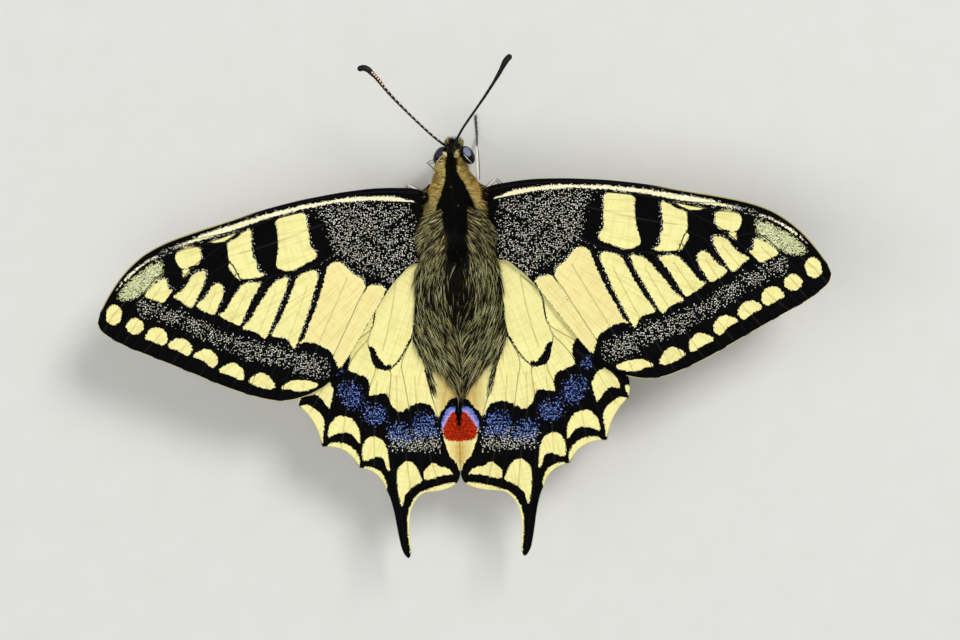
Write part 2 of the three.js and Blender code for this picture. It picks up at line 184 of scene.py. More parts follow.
def put_mesh(name, points, faces, material, values=None, corners=None):
    """A mesh object from points in metres and arrays of triangles or quads.

    values holds one number per point, or one for all, by attribute name. corners holds, by
    map name, one array of (u, v) per array of faces, with a row for each corner. A closed
    mesh whose volume, the sum of its faces' a . (b x c), is below 0 is turned right side out.
    """
    corners = corners or {}
    volume = sum(
        (points[part[:, 0]] * np.cross(points[part[:, k]], points[part[:, k + 1]])).sum()
        for part in faces for k in range(1, part.shape[1] - 1))
    if volume < 0:
        faces = [part[:, ::-1] for part in faces]
        corners = {key: [part[:, ::-1] for part in parts] for key, parts in corners.items()}
    mesh = bpy.data.meshes.new(name)
    loops = np.concatenate([part.ravel() for part in faces]).astype(np.int32)
    sides = np.concatenate([np.full(len(part), part.shape[1]) for part in faces])
    starts = np.concatenate([[0], np.cumsum(sides)[:-1]]).astype(np.int32)
    mesh.vertices.add(len(points))
    mesh.loops.add(len(loops))
    mesh.polygons.add(len(sides))
    mesh.vertices.foreach_set("co", np.asarray(points, np.float32).ravel())
    mesh.loops.foreach_set("vertex_index", loops)
    mesh.polygons.foreach_set("loop_start", starts)
    mesh.polygons.foreach_set("use_smooth", np.ones(len(sides), bool))
    mesh.update(calc_edges=True)
    for key, numbers in (values or {}).items():
        layer = mesh.attributes.new(key, "FLOAT", "POINT")
        layer.data.foreach_set("value", np.full(len(points), numbers, np.float32))
    for key, parts in corners.items():
        layer = mesh.uv_layers.new(name=key)
        flat = np.concatenate([np.asarray(part, np.float32).reshape(-1, 2) for part in parts])
        layer.data.foreach_set("uv", flat.ravel())
    mesh.materials.append(material)
    made = bpy.data.objects.new(name, mesh)
    bpy.context.scene.collection.objects.link(made)
    return made


table_paint, tone = new_finish("table_paint")
speck = tone.node("ShaderNodeTexNoise", {}, {"Scale": 900.0, "Detail": 3.0})
table_tone = tone.mixed(speck, "D9D8D2", "DEDDD8")
surface(tone, {"Base Color": table_tone, "Roughness": 0.75})
table_reach = 1.5
table_corners = np.array([(-1, -1, 0), (1, -1, 0), (1, 1, 0), (-1, 1, 0)]) * table_reach
put_mesh("table_top", table_corners, [np.array([[0, 1, 2, 3]])], table_paint)

# --------------------------------------------------------------------------------- wings
# Each wing is a thin stiff film of chitin, pleated between its veins and covered on both
# sides with rows of coloured scales. It is one closed sheet here, hung on the middle
# surface of its solid, and the markings are laid on it by distance from their outlines.
hinge_ahead_of_chest = 1.67
collar_low, collar_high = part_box("prothorax")
middle_x = (collar_low.x + collar_high.x) / 2
hinge_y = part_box("mesothorax")[0].y + hinge_ahead_of_chest * MM
sides_of_body = {"left": 1, "right": -1}


def stand(out, aft, height, side=1):
    """The place in metres of points given in mm as out, aft and height on one side."""
    parts = np.broadcast_arrays(middle_x + side * np.asarray(out) * MM,
                                hinge_y + np.asarray(aft) * MM, np.asarray(height) * MM)
    return np.stack(parts, -1)


def smooth_line(points, count, closed=False):
    """Points at even distances along the smooth curve through some given points.

    Between two of them the curve is a cubic. Its slope at a point is half the step from
    the point before to the point after.
    """
    given = np.array(points, float)
    if closed:
        before, start, end, after = (np.roll(given, shift, 0) for shift in (1, 0, -1, -2))
    else:
        start, end = given[:-1], given[1:]
        before = np.vstack([given[:1], given[:-2]])
        after = np.vstack([given[2:], given[-1:]])
    t = np.linspace(0, 1, 16, endpoint=False)[:, None, None]
    curve = 0.5 * (2 * start + (end - before) * t
                   + (2 * before - 5 * start + 4 * end - after) * t ** 2
                   + (3 * start - before - 3 * end + after) * t ** 3)
    curve = curve.transpose(1, 0, 2).reshape(-1, given.shape[1])
    curve = np.vstack([curve, given[:1] if closed else given[-1:]])
    run = np.concatenate([[0], np.cumsum(np.linalg.norm(np.diff(curve, axis=0), axis=1))])
    at = np.linspace(0, run[-1], count)
    return np.stack([np.interp(at, run, part) for part in curve.T], -1)


def along_edge(runs, u):
    """The points at u of an edge made of runs, each one a line and the u where it ends."""
    stops = []
    places = []
    start = 0
    for points, until in runs:
        stops.append(np.linspace(start, until, 240))
        places.append(smooth_line(points, 240))
        start = until
    stops, places = np.concatenate(stops), np.concatenate(places)
    return np.stack([np.interp(u, stops, part) for part in places.T], -1)


def bay(start, end, depth):
    """A shallow bay between two vein tips: a parabola that is depth deep in its middle."""
    start, end = np.array(start), np.array(end)
    along = unit(end - start)
    middle = (start + end) / 2 + 2 * depth * np.array([-along[1], along[0]])
    t = np.linspace(0, 1, 12)[:, None]
    return start * (1 - t) ** 2 + 2 * middle * t * (1 - t) + end * t ** 2


fore_costa = [(2.0, 0.3), (3.5, -0.13), (4.4, -0.38), (5.8, -0.57), (7.2, -0.72), (8.7, -0.8),
              (10.7, -0.78), (12.2, -0.72), (14.3, -0.57), (16.3, -0.39), (20.0, 0.15),
              (24.0, 0.95), (27.0, 1.52), (30.2, 2.28), (32.5, 3.15),
              (34.2, 4.2), (35.8, 5.6), (37.3, 7.4), (38.3, 8.95), (38.65, 9.85)]
fore_inner = [(2.0, 4.4), (3.4, 6.3), (4.4, 7.3), (5.1, 7.4), (5.7, 7.7), (6.3, 8.25),
              (8.0, 9.9), (13.2, 16.7), (15.2, 18.7),
              (17.4, 19.72)]
fore_outer = [(17.4, 19.72), (19.2, 20.05), (20.9, 19.95), (22.7, 19.42), (25.8, 18.05),
              (29.8, 15.88), (32.9, 14.2), (35.9, 12.6), (37.5, 11.5), (38.2, 10.9),
              (38.5, 10.45)]
fore_tornus = 0.46
rs_end, m1_end, m2_end = (17.5, 22.0), (15.1, 26.4), (11.15, 28.7)
tail_root, cu_end, anal_angle = (8.35, 31.1), (4.0, 31.45), (0.03, 29.7)
hind_costa = [(2.0, 3.9), (3.6, 4.4), (6.0, 5.9), (9.0, 8.6), (14.8, 14.8), (16.7, 17.6),
              (17.65, 20.3), rs_end]
hind_inner = [(2.0, 5.6), (2.35, 9.0), (2.1, 13.0), (1.65, 17.0), (0.5, 20.3),
              (0.1, 21.8), (0.01, 23.0), (0.01, 26.0), anal_angle]
anal_lobe = [anal_angle, (0.25, 30.35), (0.65, 30.8), (2.0, 31.3), cu_end]
tail_outer = [tail_root, (7.95, 32.1), (7.6, 33.5), (7.35, 35.0), (7.1, 36.4), (6.85, 37.45),
              (6.5, 38.1), (6.2, 38.35)]
tail_inner = [cu_end, (4.75, 31.85), (5.4, 32.6), (5.8, 33.4), (5.98, 34.5), (6.02, 35.5),
              (5.95, 36.6), (5.88, 37.6), (6.05, 38.25)]
hind_bays = [bay(rs_end, m1_end, 0.45), bay(m1_end, m2_end, 0.8), bay(m2_end, tail_root, 0.6)]


def fore_height(out, aft):
    """The forewing's middle surface: it rises outwards, bends over, and falls aft."""
    reach = out - 3.0
    return 9.6 + 0.075 * reach - 0.0009 * reach ** 2 - 0.035 * aft


def hind_height(out, aft):
    """The hindwing lies under the forewing and sinks towards the middle line."""
    return fore_height(out, aft) - 0.62 - 0.03 * np.maximum(0, 5.0 - out) ** 2


# A wing's veins as (line, radius at its root, radius at its tip).
fore_veins = [
    ([(3.5, 0.1), (8.0, -0.45), (14.0, -0.4), (20.0, 0.3), (25.0, 1.2)], 0.16, 0.07),
    ([(3.8, 1.2), (8.0, 0.6), (14.0, 0.55), (19.5, 1.25), (24.0, 2.0), (29.0, 2.35)], 0.15, 0.07),
    ([(19.5, 1.25), (22.0, 1.8), (26.0, 2.75), (30.0, 3.3), (33.0, 3.55)], 0.12, 0.07),
    ([(24.2, 2.95), (27.0, 3.05), (30.0, 3.5), (31.5, 3.95), (33.0, 4.6), (34.6, 5.55),
      (35.6, 6.25)], 0.10, 0.06),
    ([(22.0, 1.8), (24.2, 2.95), (26.0, 4.0), (28.0, 5.2), (30.2, 7.3), (31.4, 8.6),
      (33.0, 10.4), (34.0, 11.5), (35.3, 12.9)], 0.12, 0.07),
    ([(28.9, 5.75), (31.1, 5.5), (32.6, 6.45), (33.9, 7.8), (35.4, 9.6), (37.0, 11.8)], 0.10, 0.06),
    ([(23.9, 5.0), (25.9, 5.95), (26.5, 7.0), (27.1, 8.0), (28.2, 9.2), (29.8, 10.9),
      (31.4, 12.7), (32.9, 14.25)], 0.11, 0.06),
    ([(23.5, 6.3), (24.1, 7.35), (24.95, 9.0), (26.1, 10.5), (27.5, 12.4), (28.95, 14.2),
      (29.9, 15.8)], 0.11, 0.06),
    ([(19.0, 7.0), (20.5, 7.3), (21.1, 8.5), (22.9, 11.2), (23.7, 12.1), (25.0, 14.0),
      (26.4, 15.7), (27.3, 17.2)], 0.12, 0.06),
    ([(16.4, 6.7), (17.6, 7.5), (18.5, 9.2), (20.3, 12.6), (21.6, 14.9), (23.7, 18.9)], 0.13, 0.06),
    ([(4.3, 3.1), (8.0, 3.6), (11.5, 4.5), (13.0, 5.3), (14.2, 6.0), (16.4, 6.7),
      (19.0, 7.0), (21.0, 7.15), (23.1, 7.05)], 0.18, 0.10),
    ([(12.9, 5.2), (14.2, 6.8), (14.9, 8.5), (15.9, 10.8), (17.0, 12.8), (17.9, 14.3),
      (19.2, 17.0), (20.5, 19.9)], 0.13, 0.06),
    ([(24.2, 2.95), (24.15, 4.8), (23.7, 5.6), (23.1, 7.05)], 0.09, 0.09),
    ([(4.6, 4.0), (7.0, 5.9), (10.4, 9.6), (12.3, 12.6), (14.3, 15.8), (16.6, 19.3)], 0.13, 0.06),
]
hind_veins = [
    ([(6.6, 9.0), (8.7, 11.0), (9.1, 13.2), (9.6, 14.4), (12.5, 16.2), (15.0, 18.2),
      (16.4, 19.8), rs_end], 0.13, 0.06),
    ([(9.4, 14.0), (9.8, 15.2), (11.0, 16.5), (11.8, 17.6), (12.6, 19.2), (14.2, 22.6),
      (14.95, 26.0)], 0.11, 0.06),
    ([(9.8, 15.0), (9.8, 16.0), (9.2, 17.6), (9.2, 18.8), (9.8, 20.2), (10.6, 22.3),
      (10.9, 25.0), (11.05, 28.3)], 0.09, 0.06),
    ([(9.2, 17.6), (8.4, 18.3), (7.6, 18.6), (7.5, 19.5), (7.7, 21.0), (7.9, 24.0),
      (7.6, 28.5), (6.85, 34.0), (6.5, 37.6)], 0.09, 0.06),
    ([(4.0, 7.4), (4.4, 11.5), (5.1, 15.2), (6.2, 17.0), (7.3, 18.3), (7.6, 18.6)], 0.12, 0.07),
    ([(5.6, 16.2), (6.3, 18.0), (6.0, 20.0), (5.6, 22.5), (5.2, 25.0), (4.2, 29.5),
      (4.0, 31.1)], 0.09, 0.06),
    ([(3.4, 8.0), (3.9, 14.0), (3.7, 18.7), (3.0, 21.0), (2.2, 23.6), (1.7, 26.0),
      (0.75, 29.0), (0.35, 30.2)], 0.09, 0.05),
]

# Between two veins the film has a fold that runs out to the margin. Its shade is painted on the
# scales along it.
fore_folds = [
    [(12.0, 8.0), (13.6, 10.8), (15.7, 14.4), (17.2, 17.2), (18.2, 19.6)],
    [(16.3, 8.5), (18.2, 12.4), (20.2, 15.8), (22.3, 19.2)],
    [(19.6, 8.6), (21.6, 12.2), (23.4, 15.0), (25.3, 18.0)],
    [(22.6, 8.2), (24.6, 11.2), (26.4, 13.6), (28.5, 16.4)],
    [(25.9, 8.0), (27.4, 10.4), (29.0, 12.3), (31.4, 15.0)],
    [(27.6, 6.6), (29.2, 8.6), (31.2, 10.6), (32.6, 12.1), (34.3, 13.5)],
    [(31.6, 6.9), (33.2, 8.6), (34.9, 10.7), (36.2, 12.4)],
    [(34.2, 6.8), (35.8, 8.2), (37.0, 9.3), (38.2, 10.8)],
    [(13.8, 2.2), (17.0, 3.0), (20.0, 3.8), (23.0, 4.3)],
]
hind_folds = [
    [(6.6, 9.0), (7.2, 12.5), (8.3, 16.6)],
    [(12.2, 16.9), (14.0, 18.8), (16.2, 22.6)],
    [(11.0, 18.6), (12.2, 21.6), (13.1, 26.6)],
    [(9.0, 19.6), (9.4, 23.6), (9.6, 28.6)],
    [(6.9, 19.2), (6.9, 23.0), (6.2, 27.0), (5.7, 31.4)],
    [(4.9, 19.2), (4.6, 22.5), (3.6, 26.5), (2.4, 30.8)],
]


def step_gaps(out, aft, line, reach):
    """Which points are near a line, and how far each lies from each of the line's steps."""
    low, high = line.min(0) - reach, line.max(0) + reach
    near = (out > low[0]) & (out < high[0]) & (aft > low[1]) & (aft < high[1])
    step = np.diff(line, axis=0)
    gap = np.stack([out[near], aft[near]], -1)[:, None] - line[:-1]
    t = np.clip((gap * step).sum(-1) / (step ** 2).sum(-1), 0, 1)
    return near, np.linalg.norm(gap - t[..., None] * step, axis=-1)


def near_line(out, aft, line, halves):
    """Half the width of a stripe less the distance from its middle line, in mm.

    halves are half widths at even steps along the line. Farther than 3 mm it is -3.
    """
    steps = 40 + 3 * int(np.abs(np.diff(np.array(line), axis=0)).sum())
    middle = smooth_line(line, steps)
    half = np.interp(np.linspace(0, 1, steps), np.linspace(0, 1, len(halves)), halves)
    depth = np.full(out.shape, -3.0)
    near, distance = step_gaps(out, aft, middle, 3.0)
    nearest = distance.argmin(1)
    depth[near] = half[nearest] - distance.min(1)
    return depth


def inside(out, aft, outline, rounded=True):
    """How far points lie inside a closed outline, in mm; outside it the number is below 0.

    A point is inside where a line from it outwards crosses the outline an odd number of
    times. Farther out than 2 mm the number is -2.
    """
    ring = np.array(outline + outline[:1])
    if rounded:
        ring = smooth_line(outline, 1 + 8 * len(outline), True)
    depth = np.full(out.shape, -2.0)
    near, distance = step_gaps(out, aft, ring, 2.0)
    here_out, here_aft = out[near][:, None], aft[near][:, None]
    start, end = ring[:-1], ring[1:]
    spans = (start[:, 1] > here_aft) != (end[:, 1] > here_aft)
    rise = np.where(end[:, 1] == start[:, 1], 1.0, end[:, 1] - start[:, 1])
    crosses = start[:, 0] + (here_aft - start[:, 1]) * (end - start)[:, 0] / rise
    odd = (spans & (here_out < crosses)).sum(1) % 2 == 1
    depth[near] = np.where(odd, distance.min(1), -distance.min(1))
    return depth


def deepest(out, aft, outlines):
    """The greatest of the distances inside several outlines."""
    return np.max([inside(out, aft, outline) for outline in outlines], axis=0)


def ease(value, low, high):
    """0 below low, 1 above high, and a smooth climb in between."""
    t = np.clip((value - low) / (high - low), 0, 1)
    return t * t * (3 - 2 * t)


fore_stripe = [(4.2, 1.05), (4.8, 0.88), (5.4, 0.72), (6.3, 0.48), (7.2, 0.3), (8.6, 0.15),
               (10.2, 0.06), (11.8, 0.02), (13.2, 0.08), (14.5, 0.16), (16.0, 0.27), (19.3, 0.72),
               (22.7, 1.4), (24.4, 1.74), (26.1, 2.07), (28.0, 2.5), (30.3, 3.1),
               (32.3, 3.88), (33.9, 4.74), (35.3, 5.75), (36.2, 6.6)]
fore_stripe_halves = [0.08, 0.26, 0.2, 0.2, 0.14, 0.2, 0.18, 0.2, 0.26, 0.28, 0.27, 0.08, -0.1,
                      0.10, 0.11, 0.0]
fore_stripe_dust = [(26.8, 2.25), (28.6, 2.7), (30.3, 3.2), (31.9, 3.8)]
fore_patches = [
    [(22.6, 1.95), (23.5, 2.16), (24.4, 2.4), (25.2, 2.55), (26.1, 2.72), (25.2, 2.87),
     (24.4, 2.87), (23.6, 2.5)],
    [(15.9, 0.85), (18.6, 1.2), (18.7, 2.5), (18.8, 4.0), (19.1, 5.3), (19.2, 6.1), (18.4, 6.6),
     (17.3, 6.6), (16.2, 6.1), (15.0, 5.6), (15.1, 4.9), (15.5, 4.4), (15.5, 3.0), (15.6, 1.8)],
    [(21.5, 1.95), (22.3, 2.2), (23.0, 2.6), (24.0, 3.1), (24.15, 4.1), (24.05, 4.9),
     (23.7, 5.3), (23.3, 6.2), (23.0, 6.95), (20.7, 6.9), (21.2, 6.3), (21.3, 5.3),
     (21.6, 4.7), (21.6, 3.5), (21.5, 2.6)],
    [(23.2, 7.1), (24.05, 6.0), (24.1, 5.2), (23.8, 5.4), (23.4, 6.3)],
    [(27.1, 3.3), (28.0, 2.95), (29.2, 3.3), (29.7, 4.1), (29.4, 4.8), (29.1, 5.2),
     (28.3, 5.1), (27.4, 4.9), (27.0, 4.3)],
    [(28.2, 5.35), (29.0, 5.4), (29.0, 6.1)],
    [(31.0, 6.05), (32.4, 6.7), (33.3, 7.6), (32.2, 8.2), (31.45, 8.5), (30.9, 7.9),
     (30.3, 7.4), (30.8, 7.0)],
    [(26.7, 5.85), (27.4, 5.7), (28.2, 6.1), (28.8, 6.9), (29.6, 7.6), (30.3, 8.0),
     (29.6, 8.6), (28.8, 9.3), (28.3, 9.0), (27.7, 8.1), (27.0, 7.0)],
    [(25.2, 7.3), (26.1, 7.3), (26.6, 8.0), (27.3, 8.6), (28.0, 9.2), (27.3, 9.9),
     (26.3, 10.3), (25.9, 9.7), (25.4, 8.9), (25.1, 8.1)],
    [(21.2, 7.6), (22.8, 7.5), (23.6, 8.2), (24.4, 9.1), (25.2, 10.1), (25.8, 10.5),
     (24.8, 11.2), (23.8, 11.7), (23.2, 10.9), (22.4, 9.5), (21.6, 8.4)],
    [(18.2, 7.4), (19.2, 7.5), (20.0, 8.0), (20.7, 8.9), (21.6, 9.9), (22.5, 11.2),
     (23.5, 12.05), (22.5, 12.5), (21.9, 12.9), (21.4, 13.4), (20.9, 12.9), (20.3, 11.8),
     (19.4, 10.2), (18.6, 8.7)],
    [(15.2, 7.0), (16.2, 7.0), (17.2, 7.5), (17.9, 8.8), (18.7, 10.3), (19.6, 11.8),
     (20.6, 13.1), (19.5, 13.5), (18.9, 13.9), (18.4, 14.8), (18.0, 14.2), (17.2, 12.6),
     (16.3, 10.8), (15.6, 9.0), (15.1, 7.8)],
]
fore_rear_patches = [
    [(13.0, 6.3), (13.8, 6.6), (14.2, 7.5), (14.8, 9.0), (15.6, 10.8), (16.5, 12.4),
     (17.3, 13.9), (17.8, 14.3), (16.9, 14.3), (15.9, 14.6), (15.0, 15.2), (14.5, 15.7),
     (14.4, 16.3), (14.2, 16.6), (13.9, 16.5), (12.4, 13.4), (10.5, 9.9), (10.3, 9.2),
     (10.4, 8.5), (10.8, 8.1), (11.5, 7.7), (11.9, 7.1), (12.4, 6.5)],
    [(8.3, 10.0), (8.8, 9.3), (9.5, 9.15), (10.1, 9.3), (11.6, 11.8), (13.0, 14.2),
     (14.1, 16.4), (13.7, 17.2), (11.0, 13.8)],
]
fore_margin_spots = [
    [(36.3, 8.3), (37.1, 8.2), (37.6, 8.8), (37.7, 9.6), (37.2, 10.2), (36.5, 10.1), (36.0, 9.2)],
    [(33.85, 10.4), (34.4, 9.85), (35.2, 9.9), (35.7, 10.6), (35.4, 11.2), (34.7, 11.45),
     (34.0, 11.1)],
    [(31.5, 11.9), (31.9, 11.2), (32.6, 11.0), (33.3, 11.2), (33.8, 12.0), (32.9, 12.5),
     (32.0, 12.95), (31.5, 12.4)],
    [(29.05, 13.4), (29.4, 12.8), (30.1, 12.4), (30.9, 12.5), (31.5, 13.1), (30.5, 13.7),
     (29.6, 14.3), (29.1, 13.9)],
    [(26.55, 14.8), (26.9, 14.2), (27.6, 13.8), (28.7, 14.1), (28.95, 14.5), (28.0, 15.0),
     (27.2, 15.8), (26.6, 15.4)],
    [(23.95, 16.6), (24.3, 16.0), (25.0, 15.55), (26.2, 15.9), (26.45, 16.4), (25.4, 16.8),
     (24.2, 17.5)],
    [(20.85, 18.3), (21.2, 17.6), (21.9, 17.0), (22.6, 17.0), (23.5, 17.7), (22.4, 18.4),
     (21.6, 18.7), (21.0, 18.7)],
    [(16.3, 18.8), (17.2, 18.3), (19.0, 18.1), (20.2, 18.75), (19.3, 19.0), (18.4, 19.3),
     (17.0, 19.2)],
]
fore_base_dust = [(5.2, 1.5), (9.0, 0.5), (14.0, 0.6), (13.4, 2.0), (13.4, 3.5), (12.8, 4.6),
                  (12.2, 5.5), (11.5, 6.6), (10.2, 7.4), (9.0, 7.9), (8.0, 8.6), (7.2, 8.9),
                  (6.2, 8.0), (5.2, 7.4), (4.7, 6.6), (4.6, 5.0), (4.8, 3.0)]
fore_bare_line = [(4.1, 1.8), (5.8, 2.7), (7.2, 3.3), (8.4, 3.9), (9.8, 4.5)]
fore_pale_line = [(7.6, 3.4), (8.4, 3.75), (9.8, 4.25), (11.7, 4.95), (13.5, 5.75), (14.5, 6.3)]
fore_tip_dust = [(31.2, 4.3), (32.0, 4.3), (33.2, 4.9), (34.6, 5.75), (35.4, 6.3), (36.0, 7.0),
                 (36.1, 7.6), (35.2, 7.8), (34.0, 7.5), (32.9, 6.95), (31.8, 6.4), (31.3, 5.6)]
fore_band = [(16.0, 17.0), (18.0, 16.4), (20.0, 15.4), (22.0, 14.9), (24.0, 14.0),
             (26.0, 12.9), (28.0, 11.6), (30.0, 10.3), (32.0, 9.5), (33.7, 8.7)]


no_red = -2.0


def line_reach(out, aft, lines):
    """Minus the distance to the nearest of some lines, in mm."""
    return np.max([near_line(out, aft, line, [0.0]) for line in lines], axis=0)


def vein_reach(out, aft, veins):
    """Minus the distance to the middle of the nearest vein, in mm."""
    return line_reach(out, aft, [line for line, *_ in veins])


def fore_marks(out, aft):
    """The forewing's markings: distances inside the cream ones, and densities of dusting."""
    rear = deepest(out, aft, fore_rear_patches)
    edging = near_line(out, aft, fore_stripe, fore_stripe_halves)
    pale = deepest(out, aft, fore_patches + fore_margin_spots)
    pale = np.maximum(np.maximum(rear, pale), edging)
    stripe_end = near_line(out, aft, fore_stripe_dust, [0.1, 0.3, 0.3])
    ragged = deepest(out + 0.13, aft + 0.13, fore_patches + fore_rear_patches)
    moss = ease(inside(out, aft, fore_tip_dust), -0.3, 0.4)
    dust = np.max([0.66 * ease(inside(out, aft, fore_base_dust), -0.8, 0.4),
                   0.66 * ease(near_line(out, aft, fore_band, [1.0, 0.65]), -0.6, 0.5),
                   0.5 * ease(edging, -0.22, 0.0), 0.9 * ease(stripe_end, -0.15, 0.15),
                   0.75 * ease(ragged, -0.2, 0.02), 0.7 * moss], axis=0)
    veins = vein_reach(out, aft, fore_veins)
    dust = dust * (0.5 + 0.5 * ease(-veins, 0.05, 0.2))
    dust = dust * (1 - 0.85 * ease(near_line(out, aft, fore_bare_line, [0.16, 0.04]), -0.2, 0.05))
    streak = near_line(out, aft, fore_pale_line, [0.02, 0.09, 0.02])
    dust = np.maximum(dust, 0.9 * ease(streak, -0.14, 0.04))
    return {"pale": pale, "dust": dust, "peach": ease(rear, -0.4, 0.5) * 0.8, "moss": moss,
            "white": ease(edging, -0.3, -0.1), "red": no_red + 0 * out, "veins": veins,
            "folds": line_reach(out, aft, fore_folds)}


hind_cream = [
    (0.0, 5.0), (-1.0, 12.0), (-1.0, 21.4), (0.0, 21.6), (0.9, 21.9), (1.2, 22.3), (1.8, 23.0),
    (2.1, 23.6), (2.3, 23.7), (2.7, 22.9), (3.0, 22.4), (3.4, 22.2), (4.0, 22.1), (4.6, 22.1),
    (5.2, 22.3), (5.5, 22.4), (5.6, 22.9), (5.7, 22.6), (6.0, 22.6), (6.3, 22.9),
    (6.7, 22.95), (7.2, 22.6), (7.6, 22.0), (7.85, 21.3), (8.0, 21.0), (9.0, 21.05),
    (9.8, 21.2), (9.9, 20.9), (9.8, 20.2), (9.9, 19.6), (10.2, 19.2), (10.8, 19.0),
    (11.4, 18.7), (12.05, 18.45), (12.0, 18.0), (11.8, 17.2), (11.8, 16.7), (12.1, 16.0),
    (12.6, 15.4), (13.0, 14.6), (12.6, 13.6), (12.0, 12.9), (11.0, 11.0), (9.0, 8.0),
    (6.0, 5.0), (3.0, 3.5)]
hind_crescent = [(7.3, 18.1), (7.7, 18.0), (8.0, 18.1), (8.4, 17.6), (8.9, 17.0), (9.1, 16.4),
                 (9.4, 16.1), (9.8, 15.95), (9.7, 16.6), (9.6, 17.3), (9.3, 18.0), (9.0, 18.4),
                 (8.5, 18.5), (8.0, 18.6), (7.5, 18.5)]
hind_dark_veins = [
    ([(4.7, 14.4), (5.1, 15.2), (5.6, 16.0), (6.2, 17.0), (6.7, 17.8), (7.3, 18.2)],
     [0.13, 0.06, 0.09]),
    ([(8.7, 11.0), (8.9, 12.0), (9.1, 13.2), (9.4, 14.0)], [0.02, 0.06, 0.03]),
    ([(3.7, 18.7), (3.2, 19.8), (3.0, 21.0), (2.7, 22.0)], [0.1, 0.03]),
]
hind_moons = [
    [(14.1, 19.6), (14.4, 19.3), (14.9, 19.0), (15.3, 19.0), (15.9, 19.5), (16.4, 20.1),
     (16.7, 20.9), (16.4, 21.0), (15.7, 20.9), (15.3, 21.2), (14.8, 21.7), (14.4, 22.3),
     (14.2, 22.3), (14.0, 21.7), (13.8, 21.0), (13.8, 20.4), (14.0, 19.9)],
    [(11.0, 26.0), (11.0, 25.3), (11.2, 24.6), (11.6, 23.9), (12.0, 23.5), (12.7, 23.3),
     (13.3, 23.25), (13.8, 23.6), (14.2, 24.1), (14.4, 24.6), (14.5, 25.3), (14.3, 25.4),
     (13.8, 25.2), (13.0, 25.0), (12.3, 25.0), (11.8, 25.3), (11.4, 25.8), (11.1, 26.1)],
    [(7.95, 29.2), (8.0, 28.3), (8.1, 27.5), (8.2, 26.8), (8.5, 26.1), (8.9, 25.7),
     (9.6, 25.5), (10.1, 25.6), (10.5, 26.0), (10.8, 26.6), (10.85, 27.4), (10.7, 28.0),
     (10.4, 28.0), (9.8, 27.8), (9.2, 27.6), (8.8, 27.7), (8.5, 28.1), (8.3, 28.7),
     (8.05, 29.2)],
    [(4.3, 30.2), (4.5, 29.7), (4.8, 29.1), (5.2, 28.5), (5.7, 28.2), (6.2, 28.2),
     (6.7, 28.6), (7.1, 29.1), (7.2, 29.8), (7.15, 30.6), (7.05, 31.5), (6.95, 32.2),
     (6.8, 32.8), (6.6, 32.5), (6.4, 31.8), (6.0, 31.3), (5.5, 30.9), (4.8, 30.6)],
    [(0.75, 29.7), (1.0, 29.3), (1.5, 29.0), (2.2, 28.8), (2.9, 28.4), (3.3, 28.6),
     (3.8, 29.0), (4.1, 29.5), (4.05, 30.1), (3.6, 30.15), (2.8, 30.0), (2.0, 29.8),
     (1.2, 29.7)],
]
# The cream crescents along the margin, each from its inner border to past the edge.
hind_margin_moons = [
    [(17.2, 20.8), (17.6, 20.8), (18.2, 21.2), (17.9, 22.0), (17.4, 21.6)],
    [(17.1, 22.0), (16.5, 22.05), (15.8, 22.4), (15.2, 23.0), (14.9, 23.6), (14.85, 24.3),
     (15.0, 25.0), (15.1, 26.0), (15.7, 26.2), (16.2, 24.8), (17.0, 23.6), (17.8, 22.6)],
    [(14.5, 26.2), (13.8, 26.0), (13.0, 26.1), (12.3, 26.3), (11.7, 26.8), (11.3, 27.3),
     (11.1, 28.0), (11.4, 28.8), (12.4, 27.8), (13.4, 27.2), (14.6, 26.8)],
    [(10.7, 28.7), (10.0, 28.7), (9.3, 28.95), (8.8, 29.4), (8.5, 30.0), (8.3, 30.8),
     (8.6, 31.4), (9.4, 30.3), (10.6, 29.4)],
    [(0.55, 30.65), (1.6, 30.68), (3.0, 31.0), (3.85, 31.25), (4.6, 31.5), (5.35, 32.1),
     (5.85, 32.9), (6.1, 33.7), (6.2, 34.6), (6.2, 35.6), (6.1, 36.6), (6.0, 37.4), (5.9, 37.9),
     (5.3, 37.0), (5.3, 34.5), (5.0, 33.2), (4.2, 32.4), (2.5, 32.1), (0.6, 31.6)],
]
hind_blues = [
    [(2.3, 24.9), (2.7, 23.8), (3.3, 23.3), (4.1, 23.15), (4.8, 23.6), (5.15, 24.4),
     (5.0, 25.4), (4.4, 25.9), (3.3, 25.7), (2.5, 25.5)],
    [(5.4, 25.2), (5.8, 24.6), (6.5, 24.15), (7.3, 24.05), (7.8, 24.6), (7.9, 25.5),
     (7.6, 26.2), (6.6, 26.4), (5.6, 26.0)],
    [(8.1, 23.2), (8.5, 22.4), (9.2, 22.1), (10.0, 22.2), (10.5, 22.7), (10.5, 23.5),
     (9.8, 24.1), (8.6, 24.1)],
    [(10.7, 21.2), (11.1, 20.3), (11.8, 19.85), (12.7, 19.85), (13.2, 20.5), (13.2, 21.2),
     (12.7, 22.0), (11.7, 22.4), (10.8, 22.3)],
    [(13.0, 17.9), (13.4, 17.5), (13.8, 17.9), (13.8, 18.5), (13.4, 19.0), (13.05, 18.8)],
]
hind_eye_red = [(-0.5, 24.9), (0.1, 24.7), (0.27, 23.7), (0.55, 23.2), (0.95, 23.6), (1.3, 24.2),
                (1.6, 24.9), (1.65, 25.4), (1.5, 25.9), (1.15, 26.15), (0.6, 26.2), (-0.5, 26.25)]
hind_eye_lilac = [(0.3, 22.75), (0.75, 22.6), (1.3, 23.05), (1.68, 23.8), (1.85, 24.5),
                  (1.75, 25.1), (1.55, 24.7), (1.25, 24.1), (0.9, 23.55), (0.5, 23.2)]
